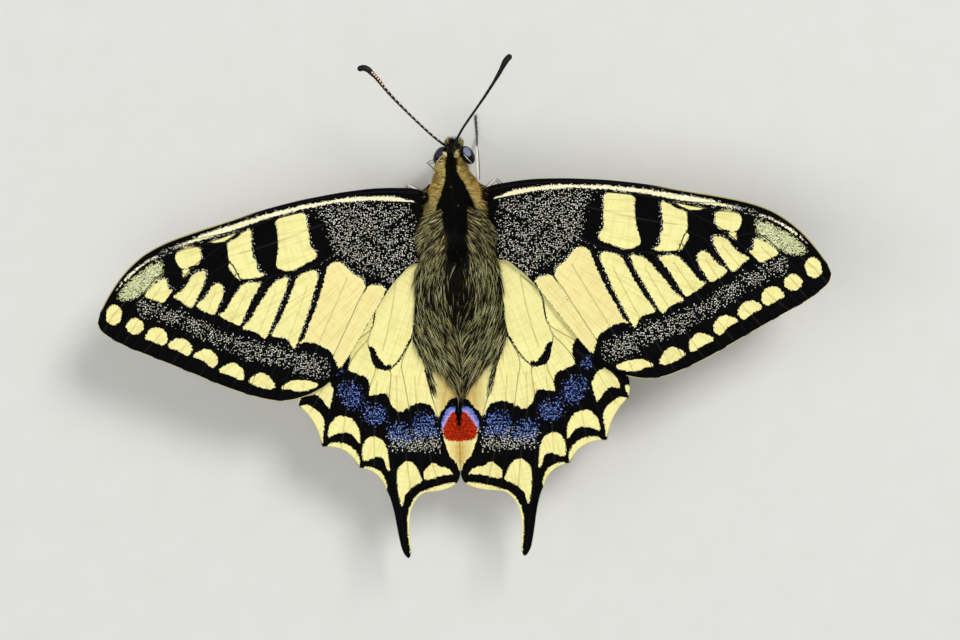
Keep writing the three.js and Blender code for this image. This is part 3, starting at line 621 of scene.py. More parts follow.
hind_eye_pale = [(1.75, 24.9), (1.7, 25.6), (1.5, 26.5), (1.2, 27.4), (0.9, 28.0), (0.5, 28.4),
                 (0.2, 28.9), (0.0, 29.5), (-0.5, 29.5), (-0.5, 26.1), (0.5, 26.2),
                 (1.1, 26.0), (1.5, 25.6)]


def hind_marks(out, aft):
    """The hindwing's markings: distances inside the cream ones, the dusting, the eyespot."""
    ground = inside(out, aft, hind_cream)
    ground = np.minimum(ground, -inside(out, aft, hind_crescent))
    for line, halves in hind_dark_veins:
        ground = np.minimum(ground, -near_line(out, aft, line, halves))
    eye_pale = inside(out, aft, hind_eye_pale)
    pale = np.maximum(ground, deepest(out, aft, hind_moons + hind_margin_moons))
    pale = np.maximum(pale, eye_pale)
    blue_depth = deepest(out, aft, hind_blues)
    blue = 0.75 * ease(blue_depth, -0.5, 0.35) * (1 - 0.5 * ease(aft, 25.3, 26.3))
    lilac = inside(out, aft, hind_eye_lilac)
    blue = np.maximum(blue, 1.6 * ease(lilac, -0.15, 0.15))
    behind = ease(aft, 24.6, 25.7) * ease(-aft, -27.5, -26.6)
    dust = 0.75 * behind * ease(out, 1.7, 2.3) * ease(-out, -8.5, -7.4)
    gold = ease(aft, 18.0, 20.5) * ease(-out, -2.8, -1.5) * ease(-aft, -24.0, -22.3)
    gold = gold * (0.88 + 0.12 * np.sin(9.0 * out + 2.0 * np.sin(aft)))
    gold = np.maximum(0.95 * gold, ease(eye_pale, -0.1, 0.3) * ease(-out, -1.2, 0.0))
    return {"pale": pale, "dust": dust, "peach": 0.35 * ease(-out, -6.5, -2.5), "gold": gold,
            "blue": blue, "lilac": ease(lilac, -0.1, 0.1),
            "red": inside(out, aft, hind_eye_red), "veins": vein_reach(out, aft, hind_veins),
            "folds": line_reach(out, aft, hind_folds)}


scales_per_mm = 9.0
lone_scales_per_mm = 5.7


def wing_finish(name, under):
    """Scales in rows: each small cell of the wing takes one colour.

    A cell is pale where the pale distance, pushed in or out a little by the cell's own
    random number, is above 0. Dusting is lone round scales, present where its density
    beats a random number. Blue and red scales are chosen in the same way.
    """
    material, tone = new_finish(name)
    place, ray = (tone.node("ShaderNodeUVMap", {"uv_map": uv}, {}) for uv in ("scales", "rays"))

    def cells(per_mm, randomness):
        """Voronoi cells of the wing in mm, and the first random number of each."""
        sockets = {"Vector": place, "Scale": per_mm, "Randomness": randomness}
        cell = tone.node("ShaderNodeTexVoronoi", {"voronoi_dimensions": "2D"}, sockets, "Color")
        return cell, tone.node("ShaderNodeSeparateColor", {}, {0: cell}, "Red")

    def noise(vector, scale, detail):
        """Soft noise from 0 to 1 over places or rays."""
        sockets = {"Vector": vector, "Scale": scale, "Detail": detail}
        return tone.node("ShaderNodeTexNoise", {"noise_dimensions": "2D"}, sockets)

    cell, dice = cells(scales_per_mm, 0.8)
    dice_two, dice_three = dice.also("Green"), dice.also("Blue")
    grain, chance = cells(lone_scales_per_mm, 0.75)
    lone = grain.also("Distance") * -1.0 + chance.also("Green") * 0.16 + 0.2
    ribbed = tone.node("ShaderNodeVectorMath", {"operation": "MULTIPLY"},
                       {0: ray, 1: (0.11, 11.0, 1.0)}, "Vector")
    streak, ripple, cloud = noise(ray, 1.0, 2.0), noise(ribbed, 1.0, 2.0), noise(place, 0.35, 3.0)
    pale_depth = tone.attribute("pale") + (0.14 if under else 0.0)
    pale_here = (pale_depth + (dice - 0.5) * 0.16) > 0.0
    dust = tone.attribute("dust")
    if under:
        dust = dust * 1.2 + 0.34
    dusted = ((dust - chance) & lone) > 0.0
    cream_here = pale_here | dusted
    blue_here = ((tone.attribute("blue") - chance.also("Blue")) & (lone + 0.04)) > 0.0
    blue_here = blue_here | (tone.attribute("lilac") > 0.5)
    red_here = (tone.attribute("red") + (dice_two - 0.5) * 0.2) > 0.0

    cream = tone.layered(
        tone.mixed(tone.attribute("peach"), "F4ED9C", "F5E298"),
        (tone.attribute("gold"), "BE9420"), (tone.attribute("white") * 0.8, "FBF6DC"),
        # streak and ripple darken the cream in bands along and across the rays: painted shade of
        # the film's fine pleats and ripples.
        (dice_three * 0.25, "FBF6C4"), (streak.within(0.42, 0.75) * 0.4, "D2C070"),
        (ripple.within(0.45, 0.75) * 0.32, "DDCC80"), (cloud.within(0.4, 0.7) * 0.15, "F8F0B4"),
        (0.35 if under else 0.0, "F6F0C4"),
        (dusted * (1 - pale_here), tone.mixed(chance.also("Blue"), "B4B092", "FFFFF4")))
    near_red = tone.attribute("red").within(-0.45, -0.1) * dice.within(0.1, 0.7)
    blue = tone.layered(tone.mixed(chance.also("Green"), "203A98", "86A2E6"),
                        (tone.attribute("lilac") * near_red, "D4A4C4"))
    mossy = ((tone.attribute("moss") * 0.88 - dice_two) > 0.0) * (1 - cream_here)
    vein_line = tone.attribute("veins").within(-0.10, -0.03) * pale_here
    fold_line = tone.attribute("folds").within(-0.13, -0.02)
    colour = tone.layered(
        tone.mixed(dice_three, "010101", "090808"),
        (cream_here, cream), (mossy, tone.mixed(dice, "98A066", "DCDFA4")),
        (blue_here, blue), (red_here, tone.mixed(dice, "5C0A03", "CC340A")),
        (vein_line * (0.2 + 0.5 * (dice_two > 0.5)), "4E4426"),
        # Along the folds the scales carry painted shade: darker on the cream, a lighter grey on the
        # black.
        (fold_line * pale_here * 0.42, "A07C38"), (fold_line * (1 - pale_here) * 0.05, "8C8A84"))
    tilt = cell.also("Distance") * 0.5 + streak * 0.8 + ripple * 1.2 + fold_line * 0.5
    bump = tone.node("ShaderNodeBump", {},
                     {"Strength": 0.5, "Distance": 0.035 * MM, "Height": tilt})
    surface(tone, {"Base Color": colour, "Roughness": 0.6 + 0.2 * cream_here,
                   "Normal": bump, "Specular IOR Level": 0.03})
    return material


def sheet_faces(rows, columns):
    """The quads of the upper and under side of a closed sheet, and of its rim."""
    index = np.arange(rows * columns).reshape(rows, columns)
    quads = np.stack([index[:-1, :-1], index[:-1, 1:], index[1:, 1:], index[1:, :-1]], -1)
    quads = quads.reshape(-1, 4)
    rim = np.concatenate([index[0, :-1], index[:-1, -1], index[-1, :0:-1], index[:0:-1, 0]])
    ahead = np.roll(rim, -1)
    under = rows * columns
    return quads, quads[:, ::-1] + under, np.stack([ahead, rim, rim + under, ahead + under], -1)


def wing_grid(front, rear, u, rows):
    """Points in mm on straight lines from the front edge to the rear edge."""
    across = np.linspace(0, 1, rows)[None, :, None]
    lead, trail = along_edge(front, u)[:, None], along_edge(rear, u)[:, None]
    grid = lead * (1 - across) + trail * across
    return grid[..., 0], grid[..., 1]


def stops_between(stops, counts):
    """Even steps between each two stops, so that no corner of an edge is lost."""
    runs = [np.linspace(a, b, n, endpoint=False) for a, b, n in zip(stops, stops[1:], counts)]
    return np.concatenate([*runs, [stops[-1]]])


film_half = 0.05
pleat_depth = 0.13
pleat_reach = 0.8
under_side_apart = 60.0
rim_strip = 0.008
fore_pivot = (3.0, 1.0)


def wing_skin_height(height, out, aft, vein_gap):
    """The middle surface with its pleats: it sags away from the veins and waves a little."""
    sag = pleat_depth * (1 - np.exp(-(vein_gap / pleat_reach) ** 2))
    wave = 0.05 * np.sin(0.5 * out + 0.3 * aft) * np.sin(0.24 * out - 0.5 * aft)
    return height(out, aft) - sag + wave


def corner_pairs(u, v):
    """The (u, v) of each face's corners, from a number or an array for each corner."""
    u, v = (np.stack(np.broadcast_arrays(*part), -1) for part in (u, v))
    return np.stack(np.broadcast_arrays(u, v), -1)


def lay_wing(kind, label, place, marks, grid, height, panels, finishes):
    """One closed wing: two skins either side of the middle surface, and a rim.

    Map scales holds places in mm, with the under side set apart, and map rays the bearing
    and the distance from the hinge. panels are the corner and size on OFBake of each skin.
    """
    out, aft = grid
    middle = wing_skin_height(height, out, aft, -marks["veins"])
    points = np.concatenate([place(out, aft, middle + half).reshape(-1, 3)
                             for half in (film_half, -film_half)])
    faces = sheet_faces(*out.shape)
    upper, lower, rim = faces
    spread = np.stack([out, aft], -1).reshape(-1, 2)
    share = (spread - spread.min(0)) / np.ptp(spread, axis=0)
    flat = np.concatenate([np.array(corner) + share * size for corner, size in panels])
    run = np.linspace(0.01, 0.99, len(rim) + 1)
    strip = corner_pairs((run[1:], run[:-1], run[:-1], run[1:]), (0.0, 0.0, rim_strip, rim_strip))
    in_mm = np.concatenate([spread, spread + [under_side_apart, 0.0]])
    from_hinge = spread - 1.0
    bearing = np.arctan2(from_hinge[:, 1], from_hinge[:, 0])
    rays = np.stack([bearing * 70, np.hypot(*from_hinge.T) * 0.25], -1)
    rays = np.concatenate([rays, rays])
    corners = {"OFBake": [flat[upper], flat[lower], strip],
               "scales": [in_mm[part] for part in faces], "rays": [rays[part] for part in faces]}
    values = {key: np.concatenate([number.ravel()] * 2) for key, number in marks.items()}
    wing = put_mesh(f"{kind}_film_{label}", points, faces, finishes[0], values, corners)
    wing.data.materials.append(finishes[1])
    which = np.repeat([0, 1, 0], [len(upper), len(lower), len(rim)]).astype(np.int32)
    wing.data.polygons.foreach_set("material_index", which)
    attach(wing, "root")
    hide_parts(f"{kind}_{label}")


left_sweep = math.radians(4.8)
left_hind_span = 0.97


def place_fore(side, sweep):
    """Sets forewing points in place: swept back about the hinge, on one side."""
    def place(out, aft, height):
        reach, back = np.asarray(out) - fore_pivot[0], np.asarray(aft) - fore_pivot[1]
        turned_out = fore_pivot[0] + reach * math.cos(sweep) - back * math.sin(sweep)
        turned_aft = fore_pivot[1] + reach * math.sin(sweep) + back * math.cos(sweep)
        return stand(turned_out, turned_aft, height, side)
    return place


def place_hind(side, span, push_from, push_to):
    """Sets hindwing points in place: drawn in by span, on one side.

    The rear inner corners of both wings are pushed a little to the insect's left, so they
    meet beside the middle line.
    """
    def place(out, aft, height):
        out = np.asarray(out)
        push = 0.4 * ease(-out, -push_from, -push_to) * ease(aft, 17.0, 22.0)
        return stand(out * span + side * push, aft, height, side)
    return place


fore_places = {"left": place_fore(1, left_sweep), "right": place_fore(-1, 0.0)}
hind_places = {"left": place_hind(1, left_hind_span, 7.0, 1.0),
               "right": place_hind(-1, 1.0, 2.6, 0.0)}
fore_grid = wing_grid([(fore_costa, 1)], [(fore_inner, fore_tornus), (fore_outer, 1)],
                      stops_between([0, fore_tornus, 1], [100, 122]), 112)
hind_grid = wing_grid(
    [(hind_costa, 0.4), (hind_bays[0], 0.51), (hind_bays[1], 0.62), (hind_bays[2], 0.72),
     (tail_outer, 1)],
    [(hind_inner, 0.62), (anal_lobe, 0.72), (tail_inner, 1)],
    stops_between([0, 0.4, 0.51, 0.62, 0.72, 1], [110, 28, 26, 22, 36]), 118)
upper_scales = wing_finish("wing_scales_upper", False)
under_scales = wing_finish("wing_scales_under", True)
fore_values, hind_values = fore_marks(*fore_grid), hind_marks(*hind_grid)
fore_panels = (((0.01, 0.52), (0.98, 0.46)), ((0.01, 0.03), (0.98, 0.46)))
hind_panels = (((0.01, 0.03), (0.48, 0.96)), ((0.51, 0.03), (0.48, 0.96)))
for label in ("left", "right"):
    lay_wing("forewing", label, fore_places[label], fore_values, fore_grid, fore_height,
             fore_panels, (upper_scales, under_scales))
    lay_wing("hindwing", label, hind_places[label], hind_values, hind_grid, hind_height,
             hind_panels, (upper_scales, under_scales))

# ---------------------------------------------------------------------------- wing veins
# The veins are stiff hollow tubes of brown chitin that carry the film. They stand out on
# both sides of it, bare and brown across the cream, greyish near the root, else black.
def bar(path, wide, high, level, sides):
    """A closed bar of elliptical section carried along a path.

    At each point of the path the ring is across * wide * cos(turn) + over * high *
    sin(turn), where across is square to the path and to level, and over to them both.
    The path is in metres, wide and high in mm.
    """
    ahead = unit(np.gradient(path, axis=0))
    across = unit(np.cross(ahead, level))
    over = np.cross(across, ahead)
    turn = (np.arange(sides) * 2 * np.pi / sides)[None, :, None]
    wide = np.broadcast_to(wide, len(path))[:, None, None] * MM
    high = np.broadcast_to(high, len(path))[:, None, None] * MM
    rings = (path[:, None] + wide * np.cos(turn) * across[:, None]
             + high * np.sin(turn) * over[:, None])
    count = len(path) * sides
    index = np.arange(count).reshape(len(path), sides)
    ahead_index = np.roll(index, -1, 1)
    quads = np.stack([index[:-1], ahead_index[:-1], ahead_index[1:], index[1:]], -1)
    first = np.stack([np.full(sides, count), ahead_index[0], index[0]], -1)
    last = np.stack([np.full(sides, count + 1), index[-1], ahead_index[-1]], -1)
    points = np.concatenate([rings.reshape(-1, 3), path[:1], path[-1:]])
    return {"points": points, "faces": [quads.reshape(-1, 4), np.concatenate([first, last])]}


def joined(parts):
    """Several parts as one: their points, faces and values, one after another."""
    starts = np.cumsum([0] + [len(part["points"]) for part in parts[:-1]])
    kinds = range(len(parts[0]["faces"]))
    faces = [np.concatenate([part["faces"][kind] + start for part, start in zip(parts, starts)])
             for kind in kinds]
    values = {key: np.concatenate([part["values"][key] for part in parts])
              for key in parts[0]["values"]}
    return {"points": np.concatenate([part["points"] for part in parts]), "faces": faces,
            "values": values}


def put_piece(name, part, material, nodes=()):
    """Makes a part into a piece of the model, with its finish and the nodes it stands for."""
    made = put_mesh(name, part["points"], part["faces"], material, part.get("values"),
                    part.get("corners"))
    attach(made, "root")
    if nodes:
        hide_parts(*nodes)


vein_chitin, tone = new_finish("vein_chitin")
knots = tone.node("ShaderNodeTexNoise", {}, {"Scale": 4200.0, "Detail": 2.0})
scaled = tone.mixed(knots.within(0.47, 0.56), "D8CC88", "7C7042")
shade = tone.mixed(tone.attribute("pale"), "070706", scaled)
surface(tone, {"Base Color": shade, "Roughness": knots * 0.3 + 0.5,
               "Specular IOR Level": 0.1})


vein_sides = 8


def vein_set(veins, place, height, marks, dusted_zone=None):
    """All the veins of a wing, each a bar on its middle surface, sunk where scales hide it."""
    parts = []
    for line, root, tip in veins:
        spots = smooth_line(line, 8 + 3 * int(np.hypot(*np.ptp(np.array(line), axis=0))))
        out, aft = spots[:, 0], spots[:, 1]
        path = place(out, aft, wing_skin_height(height, out, aft, 0.0) + 0.01)
        wide = np.linspace(root, tip, len(path))
        sunk = 0.08 * ease(inside(out, aft, dusted_zone), -0.6, 0.3) if dusted_zone else 0.0
        high = np.maximum(film_half + 0.2 * wide - sunk, 0.01)
        part = bar(path, wide * 0.8, high, [0, 0, 1.0], vein_sides)
        pale = ease(marks(out, aft)["pale"], 0.0, 0.15)
        part["values"] = {"pale": np.append(np.repeat(pale, vein_sides), pale[[0, -1]])}
        parts.append(part)
    return joined(parts)


def costa_marks(out, aft):
    """The vein along the forewing's front edge is black near the body and paler outwards:
     the paler tone is partly its cream scales and partly a painted highlight along the edge.
    """
    return {"pale": 0.15 * ease(out, 19.5, 24.0) * ease(-out, -38.4, -37.6)}


costa_vein = [(fore_costa[1:-1], 0.10, 0.07)]
for label in ("left", "right"):
    veins = joined([
        vein_set(fore_veins, fore_places[label], fore_height, fore_marks, fore_base_dust),
        vein_set(costa_vein, fore_places[label], fore_height, costa_marks)])
    put_piece(f"forewing_veins_{label}", veins, vein_chitin)
    veins = vein_set(hind_veins, hind_places[label], hind_height, hind_marks)
    put_piece(f"hindwing_veins_{label}", veins, vein_chitin)

# --------------------------------------------------------------------------- wing fringe
# Narrow scales stand along the outer margins like a fine comb. They are cream between
# the veins and black at them. Each is a solid sliver set just inside the film's edge.
rng = np.random.default_rng(41)


def strands(root, along, sway, length, width, rings=3):
    """Solid tapering hairs with three sides, each closed at its root and pointed.

    The middle line is root + length * (s * along + s * s * sway), for s from 0 at the
    root to 1 at the tip, and the half width is width * (1 - s) ** 0.7. The lengths and
    widths are in mm, for each hair or for all.
    """
    length = np.broadcast_to(length, len(root)) * MM
    width = np.broadcast_to(width, len(root)) * MM
    s = np.array([0.0, 0.36, 0.72])[:rings]
    steps = s[None, :, None]
    middle = root[:, None] + length[:, None, None] * (steps * along[:, None]
                                                      + steps ** 2 * sway[:, None])
    tip = root + length[:, None] * (along + sway)
    side = unit(np.cross(along, [0.13, 0.21, 0.97]))
    other = np.cross(along, side)
    turn = np.arange(3)[None, None, :, None] * 2 * np.pi / 3
    thick = width[:, None, None, None] * ((1 - s) ** 0.7)[None, :, None, None]
    ring = middle[:, :, None] + thick * (np.cos(turn) * side[:, None, None]
                                         + np.sin(turn) * other[:, None, None])
    each = 3 * len(s) + 1
    points = np.concatenate([ring.reshape(len(root), -1, 3), tip[:, None]], 1)
    first = (np.arange(len(root)) * each)[:, None, None]
    corner = np.arange(3)
    after = (corner + 1) % 3
    quads = [np.stack([corner + 3 * k, after + 3 * k, after + 3 * k + 3, corner + 3 * k + 3], -1)
             for k in range(len(s) - 1)]
    top = 3 * (len(s) - 1)
    points_in = np.stack([corner + top, after + top, np.full(3, each - 1)], -1)
    tris = np.concatenate([points_in, [[0, 2, 1]]])
    faces = [(first + tris[None]).reshape(-1, 3)]
    if quads:
        faces.append((first + np.concatenate(quads)[None]).reshape(-1, 4))
    run = np.concatenate([np.repeat(s, 3), [1.0]])
    spin = np.concatenate([np.tile([0.0, 0.5, 1.0], len(s)), [0.5]])
    return {"points": points.reshape(-1, 3), "faces": faces, "each": each,
            "run": np.tile(run, len(root)), "spin": np.tile(spin, len(root))}


patch_size = 0.003


def put_hair(name, hair, marks, patch, material):
    """A piece of hair or scales. marks are numbers per hair, patch its place on OFBake."""
    values = {key: np.repeat(np.broadcast_to(numbers, len(patch)), hair["each"])
              for key, numbers in marks.items()}
    values["run"] = hair["run"]
    spot = np.repeat(np.clip(patch, 0, 0.999 - patch_size), hair["each"], axis=0)
    spot = spot + patch_size * np.stack([hair["spin"], hair["run"]], -1)
    corners = {"OFBake": [spot[part] for part in hair["faces"]]}
    part = {"points": hair["points"], "faces": hair["faces"], "values": values,
            "corners": corners}
    put_piece(name, part, material)


fringe_scales, tone = new_finish("fringe_scales")
shade = tone.mixed(tone.attribute("dice"), "EADC80", "FFF8C0")
dark = tone.mixed(tone.attribute("dice"), "0A0908", "2A251B")
shade = tone.mixed(tone.attribute("pale"), dark, shade)
surface(tone, {"Base Color": shade, "Roughness": tone.attribute("dice") * 0.2 + 0.6,
               "Specular IOR Level": 0.1})


fringe_spacing = 0.055
fringe_set_in = 0.06
fringe_half_width = 0.035
fringe_disorder = 0.22


def between_veins(out, aft, gap):
    """Fringe scales are pale between the veins and black at them."""
    return ease(gap, 0.30, 0.50)


def all_black(out, aft, gap):
    """Fringe scales that are black at every place."""
    return 0 * gap


def beside_tail(out, aft, gap):
    """Fringe scales that are pale up to the tail's end."""
    return ease(-aft, -37.6, -36.9) * ease(out, 0.4, 0.7)


def fringe(name, margin, place, height, veins, length, tone_of):
    """Slivers along a margin, pointing away from the wing with a little disorder."""
    count = int(np.linalg.norm(np.diff(margin, axis=0), axis=1).sum() / fringe_spacing)
    edge = smooth_line(margin, count)
    run = unit(np.gradient(edge, axis=0))
    away = np.stack([-run[:, 1], run[:, 0]], -1)
    lean = rng.normal(0, fringe_disorder, count)
    aim = away * np.cos(lean)[:, None] + run * np.sin(lean)[:, None]
    inner = edge - away * fringe_set_in
    gap = np.maximum(0, -vein_reach(*edge.T, veins))
    level = wing_skin_height(height, *inner.T, gap)
    reach = length * rng.uniform(0.7, 1.15, count)
    tip = inner + aim * reach[:, None]
    start = place(*inner.T, level + rng.uniform(-0.03, 0.03, count))
    end = place(*tip.T, level + rng.uniform(-0.05, 0.02, count))
    along = (end - start) / (reach * MM)[:, None]
    hair = strands(start, along, 0 * along, reach, fringe_half_width, 2)
    marks = {"pale": tone_of(*edge.T, gap), "dice": rng.random(count)}
    patch = (edge - edge.min(0)) / np.ptp(edge, axis=0).max()
    put_hair(name, hair, marks, patch, fringe_scales)


hind_margin = np.vstack([np.array(rs_end)[None], *[part[1:] for part in hind_bays]])
for label in ("left", "right"):
    fore_frame = (fore_places[label], fore_height, fore_veins)
    hind_frame = (hind_places[label], hind_height, hind_veins)
    fringe(f"forewing_fringe_{label}", np.array(fore_outer + [(38.65, 9.85)])[::-1],
           *fore_frame, 0.32, between_veins)
    fringe(f"hindwing_fringe_{label}", hind_margin[::-1], *hind_frame, 0.2, between_veins)
    fringe(f"tail_fringe_{label}", np.array(tail_outer)[::-1], *hind_frame, 0.13, all_black)
    fringe(f"tail_inner_fringe_{label}", np.array(anal_lobe[:-1] + tail_inner), *hind_frame,
           0.13, beside_tail)

# -------------------------------------------------------------------------- body and head
# Head, chest and abdomen are one tube of soft black and yellow chitin in rings, drawn in
# at the neck and between the abdomen's seven rings. All of it lies under the coat.
body_stations = np.array([
    (-4.98, 0.10, 0.10, 8.20), (-4.85, 0.52, 0.55, 8.22), (-4.45, 0.90, 0.93, 8.26),
    (-4.00, 1.00, 1.03, 8.30), (-3.50, 0.93, 1.00, 8.30), (-3.00, 0.74, 0.84, 8.25),
    (-2.50, 1.05, 1.12, 8.22), (-1.70, 1.63, 1.58, 8.20), (0.0, 2.53, 2.38, 8.10),
    (2.0, 2.78, 2.73, 8.00), (4.0, 2.63, 2.48, 7.85), (6.0, 2.03, 1.98, 7.50),
    (9.0, 1.98, 1.88, 7.20), (13.0, 1.73, 1.68, 6.85), (17.0, 1.30, 1.30, 6.40),
    (20.0, 0.80, 0.85, 6.00), (21.2, 0.42, 0.45, 5.86), (21.55, 0.10, 0.10, 5.84)])
body_curve = smooth_line(body_stations, 900)
abdomen_from, abdomen_to, abdomen_rings = 6.0, 21.6, 7
ring_waist, ring_bulge, ring_evenness = 0.94, 0.09, 0.7


def body_at(aft):
    """Half width, half height and centre height of the body's skin at a place along it.

    In each ring of the abdomen both halves swell by ring_bulge * sin(turn) ** 0.6 over the
    waist between rings, where turn goes from 0 to half a circle through the ring.
    """
    wide, high, centre = (np.interp(aft, body_curve[:, 0], body_curve[:, k]) for k in (1, 2, 3))
    ring = (np.asarray(aft) - abdomen_from) / (abdomen_to - abdomen_from) * abdomen_rings
    in_ring = np.where((ring > 0) & (ring < abdomen_rings), np.sin(np.pi * (ring % 1)),
                       ring_evenness)
    full = ring_waist + ring_bulge * np.abs(in_ring) ** 0.6
    return wide * full, high * full, centre


def stripe_shift(aft):
    """How far the black stripe on the back lies to the insect's left of the middle, in mm."""
    return np.interp(aft, [-4.0, -2.7, -1.8, -0.8, 0.7, 2.0], [0.28, 0.33, 0.2, -0.08, -0.2, -0.1])


def body_marks(aft, turn):
    """How pale and how golden the body is; turn is the angle from its top, in radians.

    The back is black. Golden bands run from the head along both sides of the chest, with
    olive behind them. The abdomen's sides and belly are yellow with black stripes.
    """
    side = np.abs(turn)
    wide = body_at(aft)[0]
    out = np.abs(wide * np.sin(turn) - stripe_shift(aft))
    out = np.where(side < np.pi / 2, out, np.maximum(out, wide))
    band_edge = np.interp(aft, [-4.2, -1.8, -0.1, 1.65, 4.0], [0.4, 0.5, 1.2, 1.9, 2.4])
    gold = ease(out, band_edge + 0.15, band_edge + 0.4) * ease(-aft, -3.6, -1.6)
    gold = gold * ease(aft, -4.3, -4.0) * ease(-side, -2.1, -1.6)
    olive = ease(out, 0.8, 1.5) * ease(aft, 3.0, 5.0) * ease(-side, -1.75, -1.4)
    flank = ease(side, 1.35, 1.6) * ease(aft, 5.0, 7.0)
    stripes = ease(np.abs(side - 2.05), 0.06, 0.12) * ease(np.abs(side - 2.75), 0.05, 0.11)
    chest_below = 0.55 * ease(side, 1.7, 2.1) * ease(-aft, -6.5, -5.0) * ease(aft, -3.0, -2.0)
    pale = np.maximum(np.maximum(0.3 * olive, 0.95 * flank * stripes), chest_below)
    return pale, gold


body_chitin, tone = new_finish("body_chitin")
pits = tone.node("ShaderNodeTexVoronoi", {}, {"Scale": 9000.0}, "Distance")
mottle = tone.node("ShaderNodeTexNoise", {}, {"Scale": 1800.0, "Detail": 4.0})
shade = tone.layered(tone.mixed(mottle, "030303", "0C0B09"),
                     (tone.attribute("pale"), "A89B5C"), (tone.attribute("gold"), "8A6420"))
bump = tone.node("ShaderNodeBump", {}, {"Strength": 0.5, "Distance": 0.04 * MM, "Height": pits})
surface(tone, {"Base Color": shade, "Roughness": mottle * 0.3 + 0.4, "Normal": bump,
               "Specular IOR Level": 0.08})

body_sides = 56
body_aft = np.concatenate([np.linspace(-4.98, -2.0, 40), np.linspace(-1.9, 21.55, 260)])
wide, high, centre = body_at(body_aft)
body = bar(stand(0 * body_aft, body_aft, centre), wide, high, [0, 0, 1.0], body_sides)
turn = np.pi / 2 - np.arange(body_sides) * 2 * np.pi / body_sides
turn = (turn + np.pi) % (2 * np.pi) - np.pi
pale, gold = body_marks(np.repeat(body_aft, body_sides), np.tile(turn, len(body_aft)))
body["values"] = {"pale": np.append(pale, [0, 0]), "gold": np.append(gold, [0, 0])}
rows, columns = np.divmod(np.arange((len(body_aft) - 1) * body_sides), body_sides)
wrap = corner_pairs((columns, columns + 1, columns + 1, columns), (rows, rows, rows + 1, rows + 1))
cap, turned = np.divmod(np.arange(2 * body_sides), body_sides)
turned = turned / body_sides
caps = corner_pairs((turned, turned + 0.01, turned + 0.02), (cap * 0.995,))
body["corners"] = {"OFBake": [wrap / [body_sides, len(body_aft)], np.clip(caps, 0, 1)]}
body_nodes = ["head", "prothorax", "mesothorax", "metathorax"]
body_nodes += [f"abdomen_{ring}" for ring in range(1, abdomen_rings + 1)]
put_piece("body_skin", body, body_chitin, body_nodes)


def egg(out, aft, height, radii, side, rows=24, sides=24, tilt=0.0):
    """A closed egg: a bar whose half width is sqrt(1 - run * run).

    It lies along the body, or at an angle tilt that takes its rear end outwards.
    """
    run = -np.cos(np.linspace(0.12, np.pi - 0.12, rows))
    swell = np.sqrt(1 - run ** 2)
    path = stand(out + radii[1] * run * np.sin(tilt), aft + radii[1] * run * np.cos(tilt),
                 height + 0 * run, side)
    return bar(path, radii[0] * swell, radii[2] * swell, [0, 0, 1.0], sides)


shield_at, shield_radii = (2.5, 0.5, 9.8), (0.5, 1.2, 0.36)
for label, side in sides_of_body.items():
    shield = egg(*shield_at, shield_radii, side)
    shield["values"] = {"pale": 0.0, "gold": 0.0}
    put_piece(f"shoulder_shield_{label}", shield, body_chitin, [f"tegula_{label}"])

# ----------------------------------------------------------------------------------- coat
# The coat is fine chitin hair. It is short, dense and golden beside the neck, black along
# the back, and long and olive over the abdomen and the wing roots, where the two sides
# sweep back and in to meet. It is short and pale with dark stripes underneath.
coat_hair, tone = new_finish("coat_hair")
dice = tone.attribute("dice")
dark = tone.mixed(dice, "020202", "0D0B07")
light = tone.mixed(dice, "B6AE58", "FFFCC8")
golden = tone.mixed(dice, "7A4E06", "FFDC70")
tip = tone.attribute("run").within(0.0, 0.6) * 0.45 + 0.55
shade = tone.layered(dark, (tone.attribute("pale") * tip, light),
                     (tone.attribute("gold") * tip, golden),
                     (tone.attribute("rust") * 0.75, "CC7A14"))
surface(tone, {"Base Color": shade, "Roughness": 0.8 - dice * 0.2,
               "Specular IOR Level": 0.12})


def back_height(out, aft):
    """The height of what lies highest at a place near the body: its back or a wing."""
    out = np.abs(out)
    wide, high, centre = body_at(aft)
    back = centre + high * np.sqrt(np.clip(1 - (out / wide) ** 2, 0, 1))
    inner_edge = np.interp(out, [2.0, 3.4, 4.4, 5.7, 8.0], [4.4, 6.3, 7.3, 7.7, 9.9])
    costa = np.interp(out, [2.0, 3.5, 5.8, 9.0], [0.3, -0.13, -0.57, -0.8])
    film = np.where(aft < inner_edge, fore_height(out, aft), hind_height(out, aft))
    margin = np.interp(aft, [17.0, 20.3, 21.6], [1.3, 0.45, 0.05])
    reached = (out > margin) & (aft > costa) & (aft < 26)
    film = np.where(reached, film + film_half, centre - 1.0)
    off = (((out - shield_at[0]) / shield_radii[0]) ** 2
           + ((aft - shield_at[1]) / shield_radii[1]) ** 2)
    shield = shield_at[2] + shield_radii[2] * np.sqrt(np.clip(1 - off, 0, 1)) - 3.0 * (off > 1)
    return np.maximum(np.maximum(np.where(out < wide, back, centre - 0.6), film), shield)


def scattered(outline, count):
    """Random places inside an outline on (out, aft)."""
    ring = np.array(outline)
    low, high = ring.min(0), ring.max(0)
    after = np.roll(ring, -1, 0)
    area = np.abs((ring[:, 0] * after[:, 1] - ring[:, 1] * after[:, 0]).sum() / 2)
    tries = rng.uniform(low, high, (int(count * np.prod(high - low) / area * 1.25), 2))
    return tries[inside(tries[:, 0], tries[:, 1], outline, False) > 0][:count]


def put_coat(name, hair, pale, gold, rust, patch):
    """A piece of the coat. pale, gold and rust say how much of each tone a hair has."""
    marks = {"pale": pale, "gold": gold, "rust": rust, "dice": rng.random(len(patch))}
    put_hair(name, hair, marks, patch, coat_hair)


